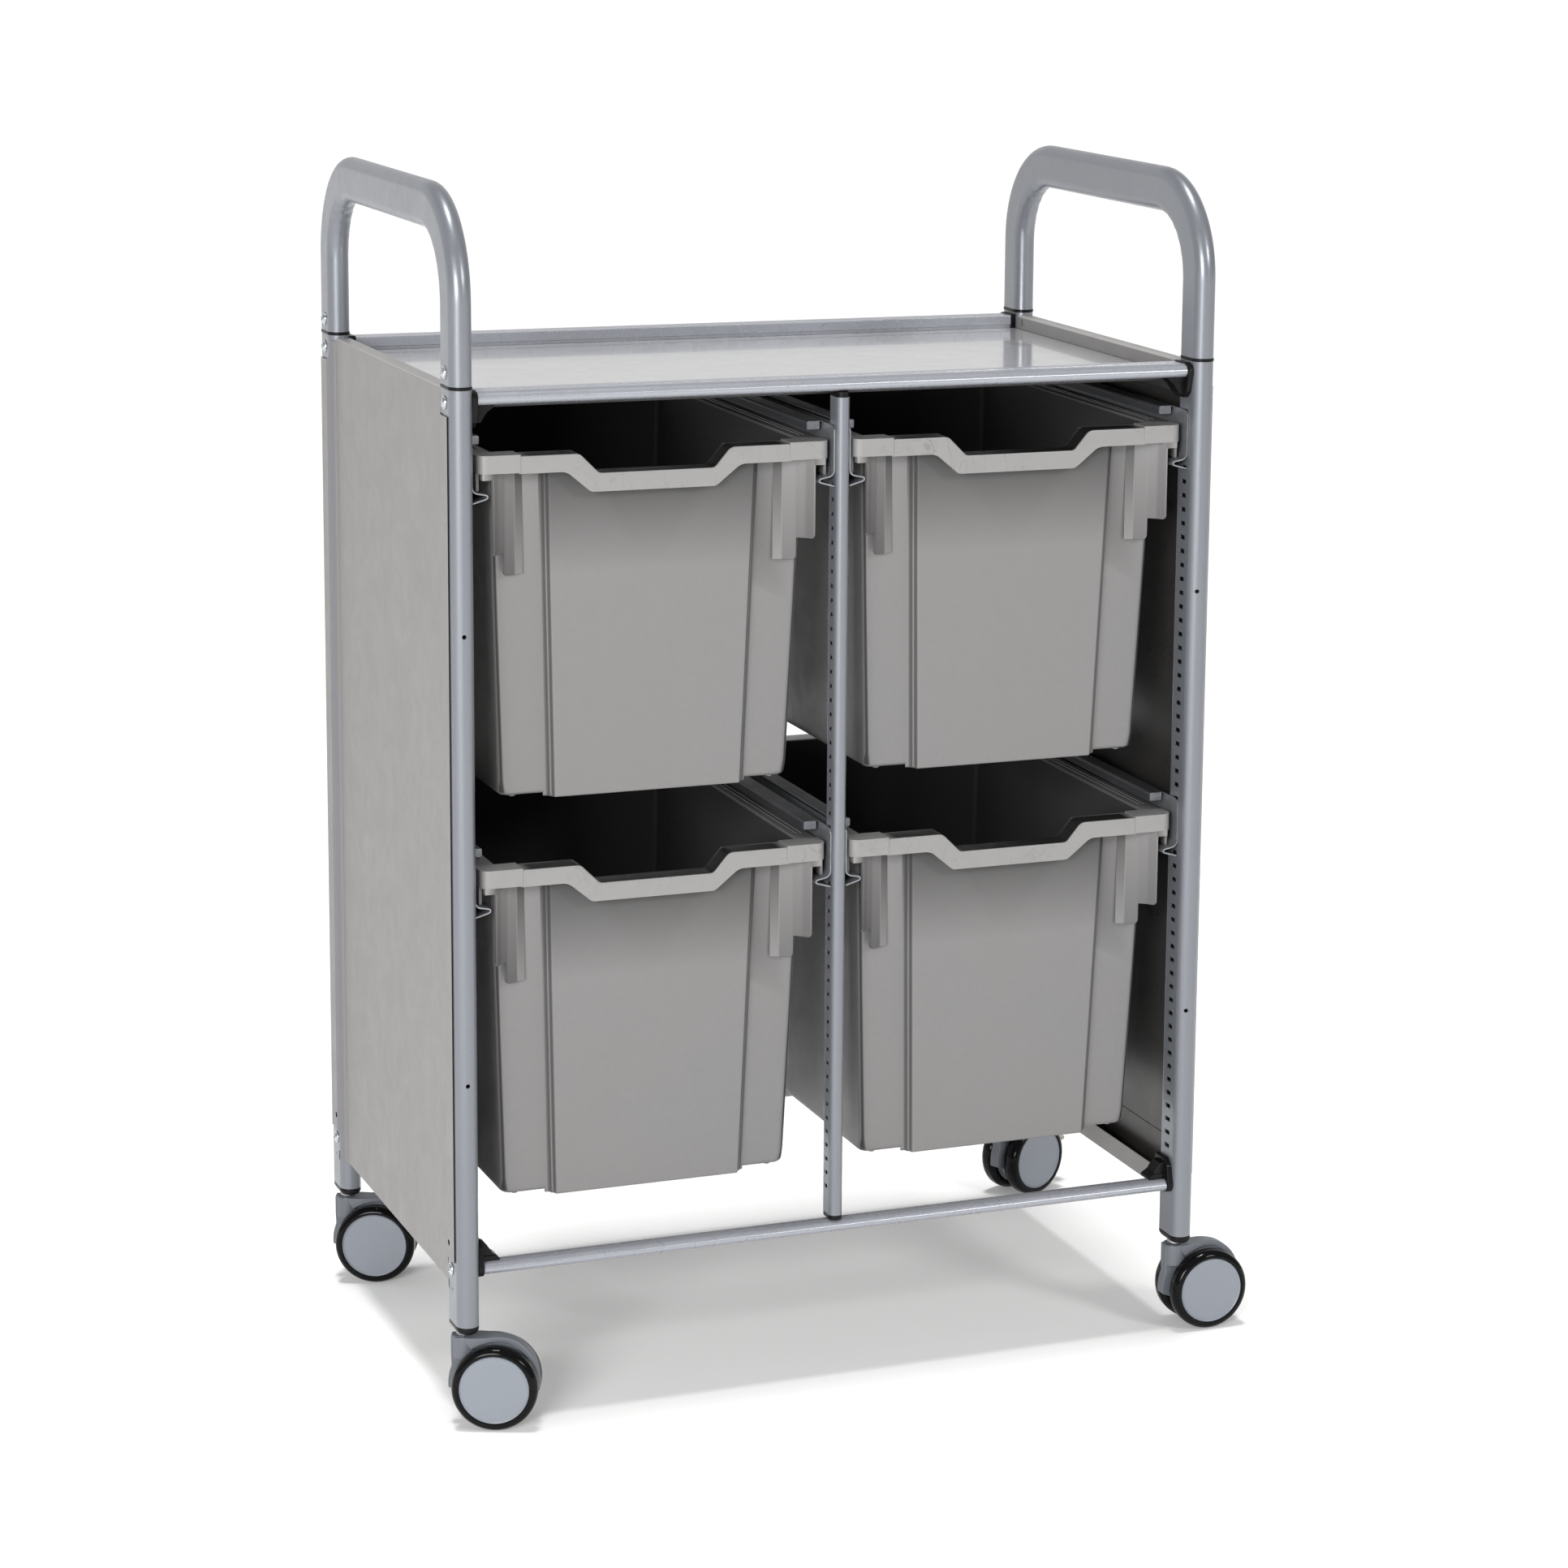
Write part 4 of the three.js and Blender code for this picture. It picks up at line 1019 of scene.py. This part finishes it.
def pedal_fork():
    """Lug and two cheeks behind the hood that carry the brake pedal's hinge."""
    p = Part()
    p.prism([(60, 39.5), (69.2, PEDAL_Z0), (69.2, PEDAL_Z1), (60, 50.5)], "y", -5.4, 5.4)
    p.prism([(66.4, PEDAL_Z0), (69.2, PEDAL_Z0), (69.2, PEDAL_Z1), (66.4, PEDAL_Z1)], "y", -9.6, 9.6)
    cheek = fillet([(66.4, PEDAL_Z0), (76.2, PEDAL_Z0), (76.2, PEDAL_Z1), (66.4, PEDAL_Z1)], [0, 2.6, 2.6, 0], True)
    for y0, y1 in ((-9.6, -8.2), (8.2, 9.6)):
        p.prism(cheek, "y", y0, y1)
    return p


def caster_wheel(side):
    """Tread with a stepped inner shoulder, glossy face ring, recessed disc with a thin rim."""
    p = Part()
    tread = [(30.6, 6.8), (33.2, 6.6), (34.0, 7.4), (35.4, 8.2), (36.0, 10.6), (37.2, 11.6), (37.5, 13.0), (37.5, 17.6),
             (37.1, 20.0), (36.0, 22.2), (34.2, 23.7), (32.4, 24.3), (31.0, 24.1), (30.6, 23.4), (30.6, 22.6), (30.0, 7.6)]
    p.lathe([(r, side * y) for r, y in tread], *AXLE, 96, 0)
    disc = [(0, 22.9), (28.3, 22.9), (28.9, 23.1), (29.2, 23.6), (29.8, 23.8), (30.35, 23.4), (30.45, 22.6), (29.9, 7.6),
            (27, 7.2), (0, 7.2)]
    p.lathe([(r, side * y) for r, y in disc], *AXLE, 96, 1)
    return p


for corner in CORNERS:
    m = caster_frame(corner)
    body = "caster_" + corner
    hood = caster_housing()
    if "back" in corner:
        hood.join(pedal_fork())
    finish_piece(hood.moved(m).object(body + "_hood"), body, [HOOD], 0.5, [body + "_housing"])
    for w in "ab":
        node = f"{body}_wheel_{w}"
        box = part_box(node)
        mid = (box[0] + box[1]) * 500
        local = m.inverted() @ Vector((mid.x - CX, mid.y - CY, mid.z))
        wheel = caster_wheel(1 if local.y > 0 else -1).moved(m)
        finish_piece(wheel.object(node + "_tyre"), node, [TREAD, DISC], 0, [node], angle=50)
    if "back" in corner:
        outline = [(70.6, 47.4), (74.0, 47.8), (81.4, 47.2), (83.5, 45.2), (82.6, 43.0), (76.0, 41.6), (71.2, 41.6)]
        tab = Part().prism(fillet(outline, 1.2, True), "y", -7.8, 7.8).moved(m).object(body + "_brake_tab")
        finish_piece(tab, body + "_pedal", [PEDAL], 0.9, [body + "_pedal"], segments=3)

# ---------------- floor, light, camera


def floor():
    """A large round sheet of pale paper that glows slightly, which lifts the shadows."""
    bm = bmesh.new()
    bmesh.ops.create_circle(bm, cap_ends=True, radius=60, segments=96)
    mesh = bpy.data.meshes.new("studio_floor")
    bm.to_mesh(mesh)
    bm.free()
    obj = new_object("studio_floor", mesh)
    m = Nodes("studio_floor_paper")
    grain = m.noise(240, 2.0)
    tone = m.mix(grain, (0.80, 0.80, 0.795), (0.84, 0.84, 0.835))
    m.bsdf.inputs["Emission Color"].default_value = (1, 0.995, 0.985, 1)
    m.bsdf.inputs["Emission Strength"].default_value = 0.12
    mesh.materials.append(m.set(Base_Color=tone, Roughness=m.span(grain, 0, 1, 0.85, 0.95), Specular_IOR_Level=0.1))


def point_along(light, direction):
    light.rotation_mode = "QUATERNION"
    light.rotation_quaternion = direction.to_track_quat("-Z", "Y")


def area_light(name, place, aim, size, power):
    data = bpy.data.lights.new(name, "AREA")
    data.shape, data.size, data.size_y = "RECTANGLE", size[0], size[1]
    data.energy = power
    obj = new_object(name, data)
    obj.location = place
    point_along(obj, Vector(aim) - Vector(place))


floor()
# the world is brighter low down behind the trolley: that is what the shelf mirrors
world = bpy.data.worlds.new("studio_world")
bpy.context.scene.world = world
world.use_nodes = True
sky = world.node_tree
facing = sky.nodes.new("ShaderNodeSeparateXYZ")
sky.links.new(sky.nodes.new("ShaderNodeTexCoord").outputs["Generated"], facing.inputs[0])
glow = sky.nodes.new("ShaderNodeMath")
glow.operation = "MULTIPLY"
for k, (axis, lo, hi) in enumerate(((1, 0.0, 0.6), (2, 0.75, 0.35))):
    ramp = sky.nodes.new("ShaderNodeMapRange")
    ramp.interpolation_type = "SMOOTHSTEP"
    ramp.inputs["From Min"].default_value, ramp.inputs["From Max"].default_value = lo, hi
    sky.links.new(facing.outputs[axis], ramp.inputs["Value"])
    sky.links.new(ramp.outputs[0], glow.inputs[k])
level = sky.nodes.new("ShaderNodeMapRange")
level.inputs["To Min"].default_value, level.inputs["To Max"].default_value = 0.24, 0.75
sky.links.new(glow.outputs[0], level.inputs["Value"])
sky.links.new(level.outputs[0], sky.nodes["Background"].inputs[1])
sky.nodes["Background"].inputs[0].default_value = (1, 1, 1, 1)
sun_data = bpy.data.lights.new("overhead_key", "SUN")
sun_data.energy, sun_data.angle = 2.6, turn(13)
point_along(new_object("overhead_key", sun_data), Vector((0.03, -0.03, -1)))
MIDDLE = (0, 0, 0.5)
area_light("left_front_softbox", (-2.9, -3.6, 1.7), MIDDLE, size=(1.8, 1.6), power=175)
area_light("right_front_softbox", (2.1, -3.9, 2.7), MIDDLE, size=(1.0, 1.0), power=70)

scene = bpy.context.scene
scene.view_settings.view_transform = "Standard"
cam_data = bpy.data.cameras.new("studio_camera")
cam = new_object("studio_camera", cam_data)
# camera solved from the photograph: where it stands, where it points, and how the picture is shifted
CAMERA_AT, LENS, SHIFT = (-1.3090, -3.4819, 1.3573), 94.92, (-0.1073, -0.0912)
az, el, roll = turn(-22.873), turn(11.04), turn(0.848)
back = Vector((math.sin(az) * math.cos(el), -math.cos(az) * math.cos(el), math.sin(el)))
right = (-back).cross(Vector((0, 0, 1))).normalized()
up = right.cross(-back)
r_axis = right * math.cos(roll) + up * math.sin(roll)
u_axis = up * math.cos(roll) - right * math.sin(roll)
cam.matrix_world = Matrix.Translation(CAMERA_AT) @ Matrix((r_axis, u_axis, back)).transposed().to_4x4()
cam_data.sensor_width, cam_data.lens = 36, LENS
cam_data.shift_x, cam_data.shift_y = SHIFT
cam_data.clip_start, cam_data.clip_end = 0.05, 200
scene.camera = cam
